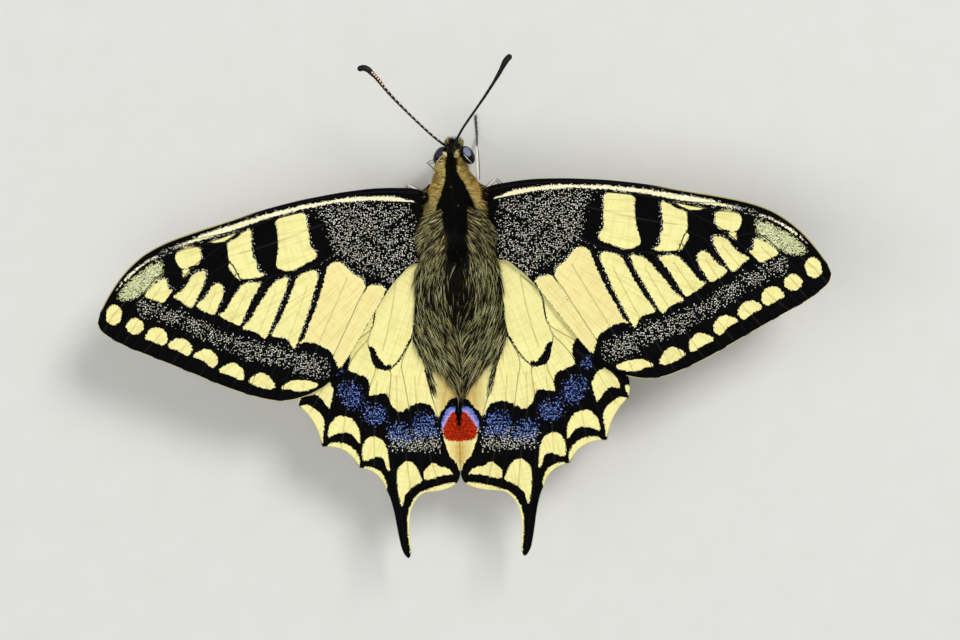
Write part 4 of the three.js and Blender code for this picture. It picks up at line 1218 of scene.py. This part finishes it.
def lie_angle(out, aft):
    """The way the back's hair lies, in radians outwards from straight back."""
    main = np.interp(aft, [-4.5, -3.0, -1.0, 0.6, 1.6, 3.2, 5.0, 7.0, 8.5, 11.0, 14.0, 18.0, 22.0],
                     [62, 86, 84, 98, 62, 56, 42, 22, 8, -10, -28, -34, -36])
    clump = 9 * np.sin(2.3 * out + 1.9 * aft) + 7 * np.sin(4.1 * out - 2.7 * aft + 1.0)
    return np.radians(main + clump)


bright_rise = 0.45
root_depth, skin_depth = 0.04, 0.05
lie_disorder = 0.13
thickness_spread = (0.75, 1.3)


def back_hair(name, outline, count, length, width, lift, clear, tones, turn_more=0.0,
              rings=3, sides=("left", "right")):
    """Hair on the back and on the wing roots that lies on what is below it.

    Each hair starts on the highest surface under its root and ends a clearance above the
    highest surface under its tip. In between it rises by lift and bends as the lie of the
    coat does. Bright hairs end higher. No tip crosses the middle line.
    """
    for label in sides:
        side = sides_of_body[label]
        place = scattered(outline, count)
        many = len(place)
        pale, gold, rust = tones(*place.T, side, many)
        angle = lie_angle(*place.T) + turn_more + rng.normal(0, lie_disorder, many)
        reach = rng.uniform(*length, many)
        reach = reach * np.interp(place[:, 1], [-4.2, -2.5, 0.0], [0.4, 0.75, 1.0])
        raised = rng.uniform(*clear, many) + bright_rise * (pale > 0.7)
        spread = rng.normal(0, 0.02, (many, 2))
        root = place + spread
        reach = reach * rng.uniform(0.8, 1.1, many)
        angle = angle + rng.normal(0, 0.05, many)
        start_way = np.stack([np.sin(angle), np.cos(angle)], -1)
        end_angle = lie_angle(*(place + reach[:, None] * start_way).T) + turn_more
        end_angle = 0.5 * angle + 0.5 * end_angle
        end_way = np.stack([np.sin(end_angle), np.cos(end_angle)], -1)
        tip = place + 0.45 * spread + reach[:, None] * (start_way + end_way) / 2
        meets = (place[:, 0] > 0) & (tip[:, 0] < 0.12)
        tip[:, 0] = np.where(meets, rng.uniform(0.0, 0.14, many), tip[:, 0])
        sway = (tip - root) / reach[:, None] - start_way
        out, aft = root.T
        low = back_height(out, aft) - root_depth
        top = back_height(*tip.T) + raised
        top = np.maximum(top, low - 0.5 * reach)
        start = stand(out + side * stripe_shift(aft), aft, low, side)
        along = np.stack([side * start_way[:, 0], start_way[:, 1], (top - low) / reach + lift], -1)
        bend = np.stack([side * sway[:, 0], sway[:, 1], np.full(many, -lift)], -1)
        thick = width * rng.uniform(*thickness_spread, many)
        hair = strands(start, along, bend, reach, thick, rings)
        wide = body_at(aft)[0]
        unrolled = np.arcsin(np.clip(out / wide, 0, 1)) / np.pi * 0.5
        patch = np.stack([np.where(out < wide * 0.98, 0.25 + side * unrolled, 0.55 + out * 0.07),
                          (aft + 5) / 28], -1)
        put_coat(f"{name}_{label}", hair, pale, gold, rust, patch)


def mid_tones(out, aft, side, many):
    """Black, with a pale hair here and there as a painted glint on the black, and more pale
     hairs towards the rear.
    """
    return 0.5 * (rng.random(many) < 0.001 + 0.02 * ease(aft, 6.0, 9.0)), 0, 0


def gold_tones(out, aft, side, many):
    """Golden, with rust where the band is at its deepest, and dark hairs behind."""
    rust = ease(aft, -2.6, -1.9) * ease(-aft, -1.0, 0.4) * ease(out, 0.9, 1.9)
    rust = rust * (0.7 if side < 0 else 0.4) * rng.uniform(0.0, 1.0, many)
    fade = ease(-aft, -3.2, -0.8) * (rng.random(many) > 0.1)
    cream_share = 0.04 + 0.1 * ease(-aft, 1.4, 3.0) + 0.12 * ease(aft, 0.4, 2.0)
    cream = 0.9 * (rng.random(many) < cream_share)
    under = 0.6 * rng.random(many) * (rng.random(many) < 0.7)
    return np.maximum(cream, under) * (fade > 0), fade * (1 - 0.6 * cream), rust


def shield_tones(out, aft, side, many):
    """Black with a few golden hairs at the front."""
    gold = (rng.random(many) < 0.04 + 0.2 * ease(-aft, -0.3, 0.6)) * 0.8
    pale = 0.6 * (rng.random(many) < 0.2 * ease(-aft, -0.2, 0.5))
    return pale, gold, 0.4 * (rng.random(many) < 0.05)


def olive_tones(out, aft, side, many):
    """Black and olive with a few bright hairs, golden in front."""
    chance = rng.random(many)
    pale = np.where(chance < 0.3, rng.uniform(0.04, 0.34, many), 0.01)
    pale = np.where(chance < 0.055, 1.0, pale)
    gold = (chance < 0.45) * rng.uniform(0.0, 0.25, many) * ease(-aft, -9.0, -5.0)
    return pale, gold, 0


def tan_tones(out, aft, side, many):
    """Tan and golden hairs with some dark ones and a few bright tips."""
    chance = rng.random(many)
    pale = np.where(chance < 0.04, 0.95, 0.6 * (chance < 0.5))
    return pale, 0.6 * (chance < 0.6), 0


def long_tones(out, aft, side, many):
    """Mostly dark at the middle line, with more pale hairs outwards and to the rear."""
    chance = rng.random(many)
    wider = ease(out, 0.6, 2.2) + 0.7 * ease(aft, 11.0, 17.0)
    pale = np.where(chance < 0.02 + 0.14 * wider, rng.uniform(0.05, 0.36, many), 0.01)
    pale = np.where(chance < 0.006 + 0.056 * wider, 1.0, pale)
    gold = 0.3 * (rng.random(many) < 0.25) + 0.4 * (rng.random(many) < 0.4) * ease(aft, 16.5, 19.5)
    return pale, gold * (pale > 0.05), 0


# Each band is its outline, then how many hairs a side, their length, half width, lift and
# clearance in mm, their tones, how much more they turn, and their rings.
back_hair("mid_back_hair",
          [(0.0, -4.1), (0.3, -4.0), (0.42, -2.4), (0.9, -0.2), (1.25, 2.2), (1.1, 5.0),
           (1.0, 8.0), (0.6, 11.0), (0.0, 12.0)],
          4500, (0.4, 0.75), 0.038, 0.22, (0.08, 0.25), mid_tones, -0.75, 2)
back_hair("dark_side_hair",
          [(0.3, -1.2), (0.55, -0.9), (0.8, 0.0), (1.15, 0.9), (1.7, 1.8), (1.8, 2.4), (1.2, 2.4),
           (0.7, 1.0)],
          2200, (0.4, 0.75), 0.036, 0.22, (0.08, 0.25), mid_tones, 0.0, 2)
back_hair("gold_band_hair",
          [(0.42, -3.75), (0.72, -3.65), (0.72, -3.0), (0.98, -2.6), (1.4, -1.8), (1.75, -1.0),
           (1.9, 0.0), (2.0, 1.0), (2.1, 1.5), (1.9, 1.5), (1.55, 0.9), (1.12, 0.0),
           (0.8, -0.95), (0.5, -1.8), (0.48, -2.6)],
          9000, (0.6, 1.0), 0.034, 0.34, (0.15, 0.6), gold_tones, 0.0, 2)
back_hair("collar_hair",
          [(0.5, -3.5), (0.75, -3.45), (1.0, -2.9), (1.3, -2.2), (0.8, -2.1), (0.6, -2.8)],
          1600, (0.7, 1.1), 0.034, 0.5, (1.1, 1.6), gold_tones, 0.1, 2, ("left",))
back_hair("collar_hair",
          [(0.45, -3.85), (1.05, -3.8), (1.25, -3.0), (1.4, -2.2), (0.8, -2.1), (0.6, -2.8)],
          1600, (0.5, 0.9), 0.034, 0.4, (0.4, 0.9), gold_tones, 0.0, 2, ("right",))
back_hair("shield_hair",
          [(2.05, 0.5), (2.2, -0.4), (2.5, -0.7), (2.9, -0.4), (3.05, 0.5), (2.9, 1.3),
           (2.6, 1.7), (2.2, 1.3)],
          1500, (0.45, 0.8), 0.034, 0.2, (0.08, 0.25), shield_tones, -0.5, 2)
back_hair("shoulder_fringe", [(1.7, 1.2), (2.3, 1.1), (2.6, 1.8), (2.3, 2.5), (2.0, 2.1)],
          1300, (0.7, 1.3), 0.034, 0.25, (0.2, 0.6), tan_tones, -0.2, 2)
back_hair("shoulder_hair",
          [(1.1, 1.6), (2.0, 2.2), (2.7, 2.4), (3.3, 4.0), (3.6, 6.5), (3.4, 8.5),
           (1.4, 8.5), (1.0, 5.5)],
          8200, (0.8, 1.7), 0.034, 0.22, (0.1, 0.9), olive_tones)
back_hair("long_hair",
          [(0.0, 7.0), (3.8, 6.6), (4.3, 9.0), (4.6, 11.5), (4.9, 13.5), (5.1, 15.0),
           (4.4, 16.2), (3.1, 17.4), (2.0, 18.6), (1.2, 19.8), (0.5, 20.8), (0.0, 20.8)],
          12400, (1.6, 2.8), 0.034, 0.16, (0.05, 0.8), long_tones)
back_hair("vein_row_hair",
          [(4.5, 14.2), (4.9, 14.4), (4.5, 16.6), (3.8, 18.3), (3.5, 19.8), (3.1, 20.9),
           (2.8, 20.6), (3.2, 19.0), (3.7, 17.4)],
          400, (0.7, 1.3), 0.034, 0.1, (0.03, 0.2), olive_tones, 0.22)


def body_hair(name, span, turns, count, length, width, lift, sweep, tones):
    """Hair on the body's skin between two places along it and two angles from its top.

    A hair's direction is cos(lift) times its lie on the skin plus sin(lift) times the
    skin's normal. Its lie turns by sweep from straight back to down around the body. It
    bends towards its lie.
    """
    for label, side in sides_of_body.items():
        aft = rng.uniform(*span, count)
        turn = rng.uniform(*turns, count)
        wide, high, centre = body_at(aft)
        reach = rng.uniform(*length, count)
        up = lift * rng.uniform(0.6, 1.3, count)
        lie = sweep + rng.normal(0, 0.25, count)
        normal = unit(np.stack([high * np.sin(turn), 0 * turn, wide * np.cos(turn)], -1))
        around = unit(np.stack([wide * np.cos(turn), 0 * turn, -high * np.sin(turn)], -1))
        flat = np.sin(lie)[:, None] * around + np.cos(lie)[:, None] * [0, 1.0, 0]
        along = np.cos(up)[:, None] * flat + np.sin(up)[:, None] * normal
        bend = 0.25 * flat - 0.45 * np.sin(up)[:, None] * normal
        mirror = np.array([side, 1.0, 1.0])
        root = stand((wide - skin_depth) * np.sin(turn), aft,
                     centre + (high - skin_depth) * np.cos(turn), side)
        thick = width * rng.uniform(*thickness_spread, count)
        hair = strands(root, along * mirror, bend * mirror, reach, thick, 2)
        pale, gold = tones(aft, turn, count)
        patch = np.stack([0.25 + side * turn / np.pi * 0.25, (aft + 5) / 28], -1)
        put_coat(f"{name}_{label}", hair, pale, gold, 0, patch)


def under_tones(aft, turn, many):
    """Yellow hair with the skin's black stripes along the sides and the belly."""
    pale = body_marks(aft, turn)[0]
    return np.clip(pale * 1.1 - 0.35 * (rng.random(many) < 0.2), 0, 1), 0.25 * pale


def neck_tones(aft, turn, many):
    """Cream and golden hair with black among it."""
    pale = rng.random(many) < 0.55
    return 0.9 * pale, 0.5 * pale * (turn < 1.9)


def black_tones(aft, turn, many):
    """Black with a brown hair here and there."""
    return 0.12 * (rng.random(many) < 0.2), 0


def face_tones(aft, turn, many):
    """Black in the middle of the face and pale yellow beside it."""
    beside = ease(turn, 0.45, 0.8) * ease(-turn, -1.9, -1.4)
    return beside * (rng.random(many) < 0.35), 0.3 * beside


# Each band is its stretch of the body, its angles, how many hairs a side, their length, half
# width, lift and sweep, and their tones.
body_hair("chest_side_hair", (-2.6, 6.5), (1.15, 3.14), 5600, (0.7, 1.3), 0.042, 0.55, 0.35,
          under_tones)
body_hair("belly_hair", (6.0, 21.2), (1.2, 3.14), 6400, (0.45, 0.8), 0.038, 0.35, 0.1,
          under_tones)
body_hair("neck_hair", (-3.4, -1.7), (0.8, 3.14), 1500, (0.4, 0.8), 0.034, 0.7, 0.3,
          neck_tones)
body_hair("crown_hair", (-4.9, -3.4), (0.0, 0.9), 420, (0.3, 0.6), 0.036, 0.95, np.pi,
          black_tones)
body_hair("face_hair", (-4.96, -4.5), (0.0, 2.6), 560, (0.4, 0.85), 0.026, 0.6, np.pi,
          face_tones)
body_hair("chin_hair", (-4.7, -3.2), (1.9, 3.14), 600, (0.3, 0.6), 0.034, 0.7, 0.5,
          neck_tones)

# ----------------------------------------------------------------------------------- head
# The compound eyes are hard black domes of thousands of tiny lenses, with a painted grey
# reflection of the sky on top, strong on the right eye. Behind each, a line of white scales
# stands in for a curved highlight: a painted highlight. A cream tuft sits by each.
eye_lens, tone = new_finish("eye_lens")
lenses = tone.node("ShaderNodeTexVoronoi", {}, {"Scale": 26000.0, "Randomness": 0.35}, "Distance")
# The grey laid over the top of each eye is a painted reflection of the sky.
shade = tone.layered("030305", (tone.attribute("sky_glint"), "7A7E92"),
                     (tone.attribute("rim"), "020202"))
bump = tone.node("ShaderNodeBump", {},
                 {"Strength": 0.35, "Distance": 0.012 * MM, "Height": lenses * -1.0})
surface(tone, {"Base Color": shade, "Roughness": 0.34 + lenses * 0.1, "Normal": bump,
               "Specular IOR Level": 0.1, "Coat Weight": 0.07 - tone.attribute("rim") * 0.05,
               "Coat Roughness": 0.1})

eye_at, eye_radii, eye_tilt = (1.42, -3.66, 8.45), (0.68, 1.04, 1.08), 0.5
outwards = np.array([np.cos(eye_tilt), -np.sin(eye_tilt), 0.0])
rearwards = np.array([np.sin(eye_tilt), np.cos(eye_tilt), 0.0])


def eye_frame(points, side):
    """Points in the eye's own frame: across, along and up, each 1 at the eye's surface."""
    gap = (points - stand(*eye_at, side)) / MM * [side, 1, 1]
    return np.stack([gap @ outwards, gap @ rearwards, gap[:, 2]], -1) / eye_radii


# The painted sky reflection is faint on the left eye and strong on the right.
for label, side, strength in (("left", 1, 0.12), ("right", -1, 1.0)):
    eye = egg(*eye_at, eye_radii, side, 44, 48, eye_tilt)
    across, along, up = eye_frame(eye["points"], side).T
    from_middle = np.stack([across - 0.25, along + 0.23])
    slant = np.array([[np.cos(0.3), -np.sin(0.3)], [np.sin(0.3), np.cos(0.3)]])
    oval = np.hypot(*(slant @ from_middle) / [[0.52], [0.55]]) + (up < 0)
    eye["values"] = {"sky_glint": strength * ease(-oval, -1.1, -0.8), "rim": ease(along, 0.45, 0.6)}
    put_piece(f"eye_{label}", eye, eye_lens, [f"eye_{label}"])

scale_white, tone = new_finish("scale_white")
buff = tone.mixed(tone.attribute("dice"), "F5D98A", "FFF2B0")
shade = tone.mixed(tone.attribute("gold"), "FBF9F0", buff)
surface(tone, {"Base Color": shade, "Roughness": 0.6 + tone.attribute("dice") * 0.2,
               "Specular IOR Level": 0.3})
tuft_hairs, tuft_radius, highlight_scales = 420, 0.17, 220
tufts = (("left", 1, (0.66, -3.7), 0.1), ("right", -1, (0.92, -3.95), 0.35))
for label, side, middle, trail in tufts:
    angle = rng.uniform(0, 2 * np.pi, tuft_hairs)
    radius = tuft_radius * np.sqrt(rng.random(tuft_hairs))
    off = np.stack([radius * np.cos(angle), radius * np.sin(angle)], -1)
    drift = rng.random(tuft_hairs) * trail
    out, aft = middle[0] + off[:, 0] - 0.9 * drift, middle[1] + off[:, 1] + 1.2 * drift
    start = stand(out + side * stripe_shift(aft), aft, back_height(out, aft), side)
    along = np.stack([side * off[:, 0] * 1.5, off[:, 1] * 1.5 - 0.2, 0.9 + 0 * drift], -1)
    tuft = strands(start, along, 0.1 * along, rng.uniform(0.4, 0.55, tuft_hairs), 0.034, 2)
    put_hair(f"cream_tuft_{label}", tuft, {"gold": 0.8, "dice": rng.random(tuft_hairs)},
             0.5 + off, scale_white)
    # The line of white scales behind each eye stands in for a curved highlight on it: a painted
    # highlight.
    run = rng.random(highlight_scales)
    across, back = -0.39 + 0.33 * run, -0.13 + 0.96 * run
    back += rng.normal(0, 1, highlight_scales) * (0.012 + 0.04 * ease(run, 0.25, 0.5))
    up = np.sqrt(np.clip(1.02 - across ** 2 - back ** 2, 0, 1))
    place = (across * eye_radii[0])[:, None] * outwards + (back * eye_radii[1])[:, None] * rearwards
    start = stand(*(np.array(eye_at) + place + [0, 0, eye_radii[2]] * up[:, None]).T, side)
    highlight_way = (outwards * 0.33 * eye_radii[0] + rearwards * 0.96 * eye_radii[1]) * [side, 1, 1]
    highlight_way = unit(highlight_way) - [[0, 0, 0.35]] * run[:, None]
    line = strands(start, highlight_way, 0 * highlight_way, 0.14, 0.03, 2)
    put_hair(f"eye_highlight_line_{label}", line, {"gold": 0, "dice": 0.3 * rng.random(highlight_scales)},
             np.stack([run, 0.5 + 0 * run], -1), scale_white)

# -------------------------------------------------------------------- antennae and tongue
# The feelers are chitin rods of about forty joints that end in a club. Each joint carries
# a dot of white scales. The tongue is two half tubes, rolled up under the head like a
# watch spring, between the upturned hairy palps.
feeler_chitin, tone = new_finish("feeler_chitin")
turned = tone.attribute("turned")
dots = tone.attribute("phase").within(0.74, 0.80) * turned.within(0.76, 0.86)
dot_shade = tone.mixed(turned.within(0.9, 0.99), "C98A3C", "F6F1E2")
shade = tone.mixed(dots, "030303", dot_shade)
surface(tone, {"Base Color": shade, "Roughness": 0.42 + tone.attribute("phase") * 0.1,
               "Specular IOR Level": 0.25})

feeler_lines = {
    "left": [(0.42, -4.2, 9.1), (0.78, -4.62, 9.25), (1.83, -5.5, 9.7), (3.0, -6.6, 10.0),
             (4.99, -8.65, 10.5), (6.48, -10.32, 10.9), (7.49, -11.68, 11.2),
             (8.01, -12.26, 11.35), (8.46, -12.7, 11.45), (8.95, -12.86, 11.5),
             (9.5, -12.7, 11.5)],
    "right": [(0.3, -4.35, 9.1), (0.31, -5.0, 9.3), (0.93, -6.1, 9.7), (1.69, -7.14, 10.0),
              (3.47, -9.41, 10.6), (4.96, -11.5, 11.1), (5.83, -12.94, 11.4),
              (6.15, -13.35, 11.3), (6.35, -13.6, 10.9)]}
feeler_sides = 12
for label, side, dot_side in (("left", 1, 0.34 * np.pi), ("right", -1, -0.5 * np.pi)):
    line = smooth_line(feeler_lines[label], 290)
    run = np.linspace(0, 1, len(line))
    step = np.linalg.norm(np.diff(line, axis=0), axis=1).mean()
    joint = np.cumsum(step / (0.6 - 0.32 * ease(run, 0.66, 0.84)))
    phase = joint % 1
    club = ease(run, 0.82, 0.92)
    swell = 0.13 + 0.03 * ease(run, 0.4, 0.7) + 0.07 * ease(run, 0.68, 0.82) + 0.09 * club
    end = np.sqrt(np.clip(1 - (np.clip(run - 0.975, 0, 1) / 0.026) ** 2, 0.02, 1))
    radius = swell * end * (1 + 0.10 * (phase - 0.5) * (1 - club)) * (1 - 0.12 * (phase < 0.12))
    radius = radius * (1 + 0.45 * ease(-run, -0.03, 0.0))
    feeler = bar(stand(*line.T, side), radius, radius, [0, 0, 1.0], feeler_sides)
    lit = np.cos(np.arange(feeler_sides) * 2 * np.pi / feeler_sides - dot_side)
    marked = (phase + 0.35 * ease(run, 0.68, 0.76)) * (run > 0.09) * (run < 0.88)
    feeler["values"] = {"turned": np.concatenate([np.tile(lit, len(line)), [0, 0]]),
                        "phase": np.concatenate([np.repeat(marked, feeler_sides), [0, 0]])}
    put_piece(f"antenna_{label}", feeler, feeler_chitin, [f"antenna_{label}"])

tongue_chitin, tone = new_finish("tongue_chitin")
coil = tone.node("ShaderNodeTexWave", {"bands_direction": "Z"},
                 {"Scale": 9000.0, "Distortion": 2.0})
shade = tone.mixed(coil, "171008", "3B2A17")
surface(tone, {"Base Color": shade, "Roughness": 0.3 + coil * 0.15})
coil_at, coil_turns = (-4.3, 6.12), 2.6
around = np.linspace(0, 1, 150)
bearing = np.pi / 2 + around * coil_turns * 2 * np.pi
coil_radius = 0.72 - 0.46 * around
coil_line = np.stack([0 * around, coil_at[0] + coil_radius * np.cos(bearing),
                      coil_at[1] + coil_radius * np.sin(bearing)], -1)
coil_line = np.vstack([[(0, -4.0, 7.3), (0, -4.12, 7.02)], coil_line])
thin = np.linspace(0.13, 0.055, len(coil_line))
tongue = bar(stand(*coil_line.T), thin, thin * 1.7, [1.0, 0, 0], 14)
put_piece("tongue", tongue, tongue_chitin, ["proboscis"])


def bristles(path, radius, count, length, lift, width):
    """Hair on a rod: roots spread over it, leaning outwards by lift from its direction."""
    ahead = unit(np.gradient(path, axis=0))
    pick = rng.integers(1, len(path) - 1, count)
    forward = ahead[pick]
    across = unit(np.cross(forward, [0.3, 0.2, 0.93]))
    over = np.cross(across, forward)
    turn = rng.uniform(0, 2 * np.pi, count)[:, None]
    outward = np.cos(turn) * across + np.sin(turn) * over
    root = path[pick] + outward * np.broadcast_to(radius, len(path))[pick][:, None] * 0.9 * MM
    along = forward * np.cos(lift) + outward * np.sin(lift)
    reach = rng.uniform(*length, count)
    patch = np.stack([turn[:, 0] / (2 * np.pi), pick / len(path)], -1)
    hair = strands(root, along, -0.35 * np.sin(lift) * outward, reach, width, 2)
    return hair, patch, pick / len(path), outward


palp_hairs = 200
for label, side in sides_of_body.items():
    line = smooth_line([(0.46, -4.3, 7.2), (0.5, -4.75, 7.35), (0.46, -5.0, 8.0),
                        (0.42, -5.02, 8.45)], 30)
    run = np.linspace(0, 1, len(line))
    radius = (0.17 - 0.07 * run) * np.sqrt(1 - (2 * run - 1) ** 8 * 0.96)
    palp = bar(stand(*line.T, side), radius, radius, [0, 1.0, 0.2], 16)
    palp["values"] = {"pale": 0.12, "gold": 0.0}
    put_piece(f"palp_{label}", palp, body_chitin, [f"palp_{label}"])
    hair, patch, _, outward = bristles(stand(*line.T, side), radius, palp_hairs, (0.4, 0.8),
                                       0.6, 0.02)
    beside = ease(outward[:, 0] * side, -0.2, 0.3)
    pale = 0.95 * beside * (rng.random(palp_hairs) < 0.6)
    put_coat(f"palp_hair_{label}", hair, pale, 0.3 * beside, 0, patch)

# ----------------------------------------------------------------------------------- legs
# Six thin chitin legs stand on the table. The thighs are hairy, the shins cream above and
# spiny, and the dark jointed feet lie flat and end in a pair of hooked claws.
leg_chitin, tone = new_finish("leg_chitin")
ridges = tone.node("ShaderNodeTexNoise", {}, {"Scale": 6000.0, "Detail": 3.0})
shade = tone.mixed(ridges, "0C0906", "2C2116")
chalk = tone.mixed(ridges, "FBF6E4", "FFFEF6")
shade = tone.mixed(tone.attribute("pale"), shade, chalk)
bump = tone.node("ShaderNodeBump", {}, {"Strength": 0.4, "Distance": 0.02 * MM, "Height": ridges})
surface(tone, {"Base Color": shade, "Roughness": 0.4 + ridges * 0.2, "Normal": bump})

landing_share = 0.38
limb_sides = 12
thigh_hairs, foot_spines = 260, 190
ankle_height, foot_height = 1.2, 0.14
hips = {"fore": (0.9, -0.6, 6.0), "mid": (1.1, 1.6, 5.8), "hind": (1.0, 3.8, 5.8)}
knees_ankles_toes = {
    ("fore", "left"): [(3.2, -3.05, 5.6), (1.35, -4.1), (0.1, -5.6)],
    ("fore", "right"): [(2.25, -1.15, 5.8), (1.8, -5.0), (1.65, -8.3)],
    ("mid", "left"): [(5.17, -0.9, 6.6), (7.8, 2.0), (9.8, 5.6)],
    ("mid", "right"): [(4.15, -1.2, 6.7), (6.8, 2.1), (8.6, 5.9)],
    ("hind", "left"): [(4.9, 6.6, 6.5), (6.6, 11.4), (7.5, 15.9)],
    ("hind", "right"): [(4.6, 6.9, 6.5), (6.1, 11.8), (6.9, 16.3)]}


def limb(start, end, radii, pale, side, bow=0.0):
    """One rounded joint of a leg: a bar that swells from both ends and may bow upwards."""
    run = (1 - np.cos(np.linspace(0.1, np.pi - 0.1, 18))) / 2
    line = np.array(start) + run[:, None] * (np.array(end) - np.array(start))
    line[:, 2] += bow * np.sin(np.pi * run)
    radius = np.interp(run, [0, 0.5, 1], radii) * (1 - np.abs(2 * run - 1) ** 7) ** 0.5
    part = bar(stand(*line.T, side), radius, radius, [0.1, 0.2, 1.0], limb_sides)
    top = ease(np.sin(np.arange(limb_sides) * 2 * np.pi / limb_sides), 0.4, 0.8)
    part["values"] = {"pale": pale * np.append(np.tile(top, len(run)), [0, 0])}
    return part, stand(*line.T, side), radius


for (pair, label), (knee, ankle, toe) in knees_ankles_toes.items():
    side = sides_of_body[label]
    hip, knee = np.array(hips[pair]), np.array(knee)
    ankle, toe = np.array([*ankle, ankle_height]), np.array([*toe, foot_height])
    landing = ankle + (toe - ankle) * landing_share
    landing[2] = foot_height
    coxa, _, _ = limb(hip + [0, 0, 0.5], hip, (0.4, 0.48, 0.4), 0.0, side)
    thigh, thigh_path, thigh_radius = limb(hip, knee, (0.30, 0.24, 0.2), 0.95, side, 0.12)
    shin, shin_path, shin_radius = limb(knee, ankle, (0.2, 0.22, 0.16), 1.0, side)
    heel, heel_path, heel_radius = limb(ankle, landing, (0.12, 0.11, 0.10), 0.1, side)
    stops = landing + np.array([0.0, 0.34, 0.58, 0.78, 1.0])[:, None] * (toe - landing)
    feet = [limb(a, b, (0.10, 0.09, 0.11), 0.05, side) for a, b in zip(stops, stops[1:])]
    ahead = unit(toe - landing)
    across = np.array([-ahead[1], ahead[0], 0])
    start = np.stack([toe + 0.05 * across, toe - 0.05 * across])
    aim = np.stack([ahead + 0.45 * across, ahead - 0.45 * across]) + [0, 0, 0.25]
    mirror = np.array([side, 1, 1])
    parts = [coxa, thigh, shin, heel, *(foot[0] for foot in feet)]
    nodes = [f"{bone}_{pair}_{label}" for bone in ("femur", "tibia", "tarsus")]
    put_piece(f"leg_{pair}_{label}", joined(parts), leg_chitin, nodes)
    claws = strands(stand(*start.T, side), aim * mirror, np.array([[0, 0, -0.55]] * 2),
                    0.34, 0.05)
    put_hair(f"claws_{pair}_{label}", claws, {"pale": 0}, np.full((2, 2), 0.5),
             leg_chitin)
    hair, patch, _, _ = bristles(thigh_path[:9], thigh_radius[:9], thigh_hairs, (0.2, 0.4),
                                 0.35, 0.022)
    put_coat(f"thigh_hair_{pair}_{label}", hair, 0.95 * (rng.random(thigh_hairs) < 0.4), 0.15,
             0, patch)
    spine_path = np.vstack([shin_path, heel_path, *(foot[1] for foot in feet)])
    spine_radius = np.concatenate([shin_radius, heel_radius, *(foot[2] for foot in feet)])
    hair, patch, run, _ = bristles(spine_path, spine_radius, foot_spines, (0.14, 0.26), 0.75,
                                   0.018)
    put_hair(f"spines_{pair}_{label}", hair, {"pale": 0.9 * (run < 0.2)}, patch, leg_chitin)
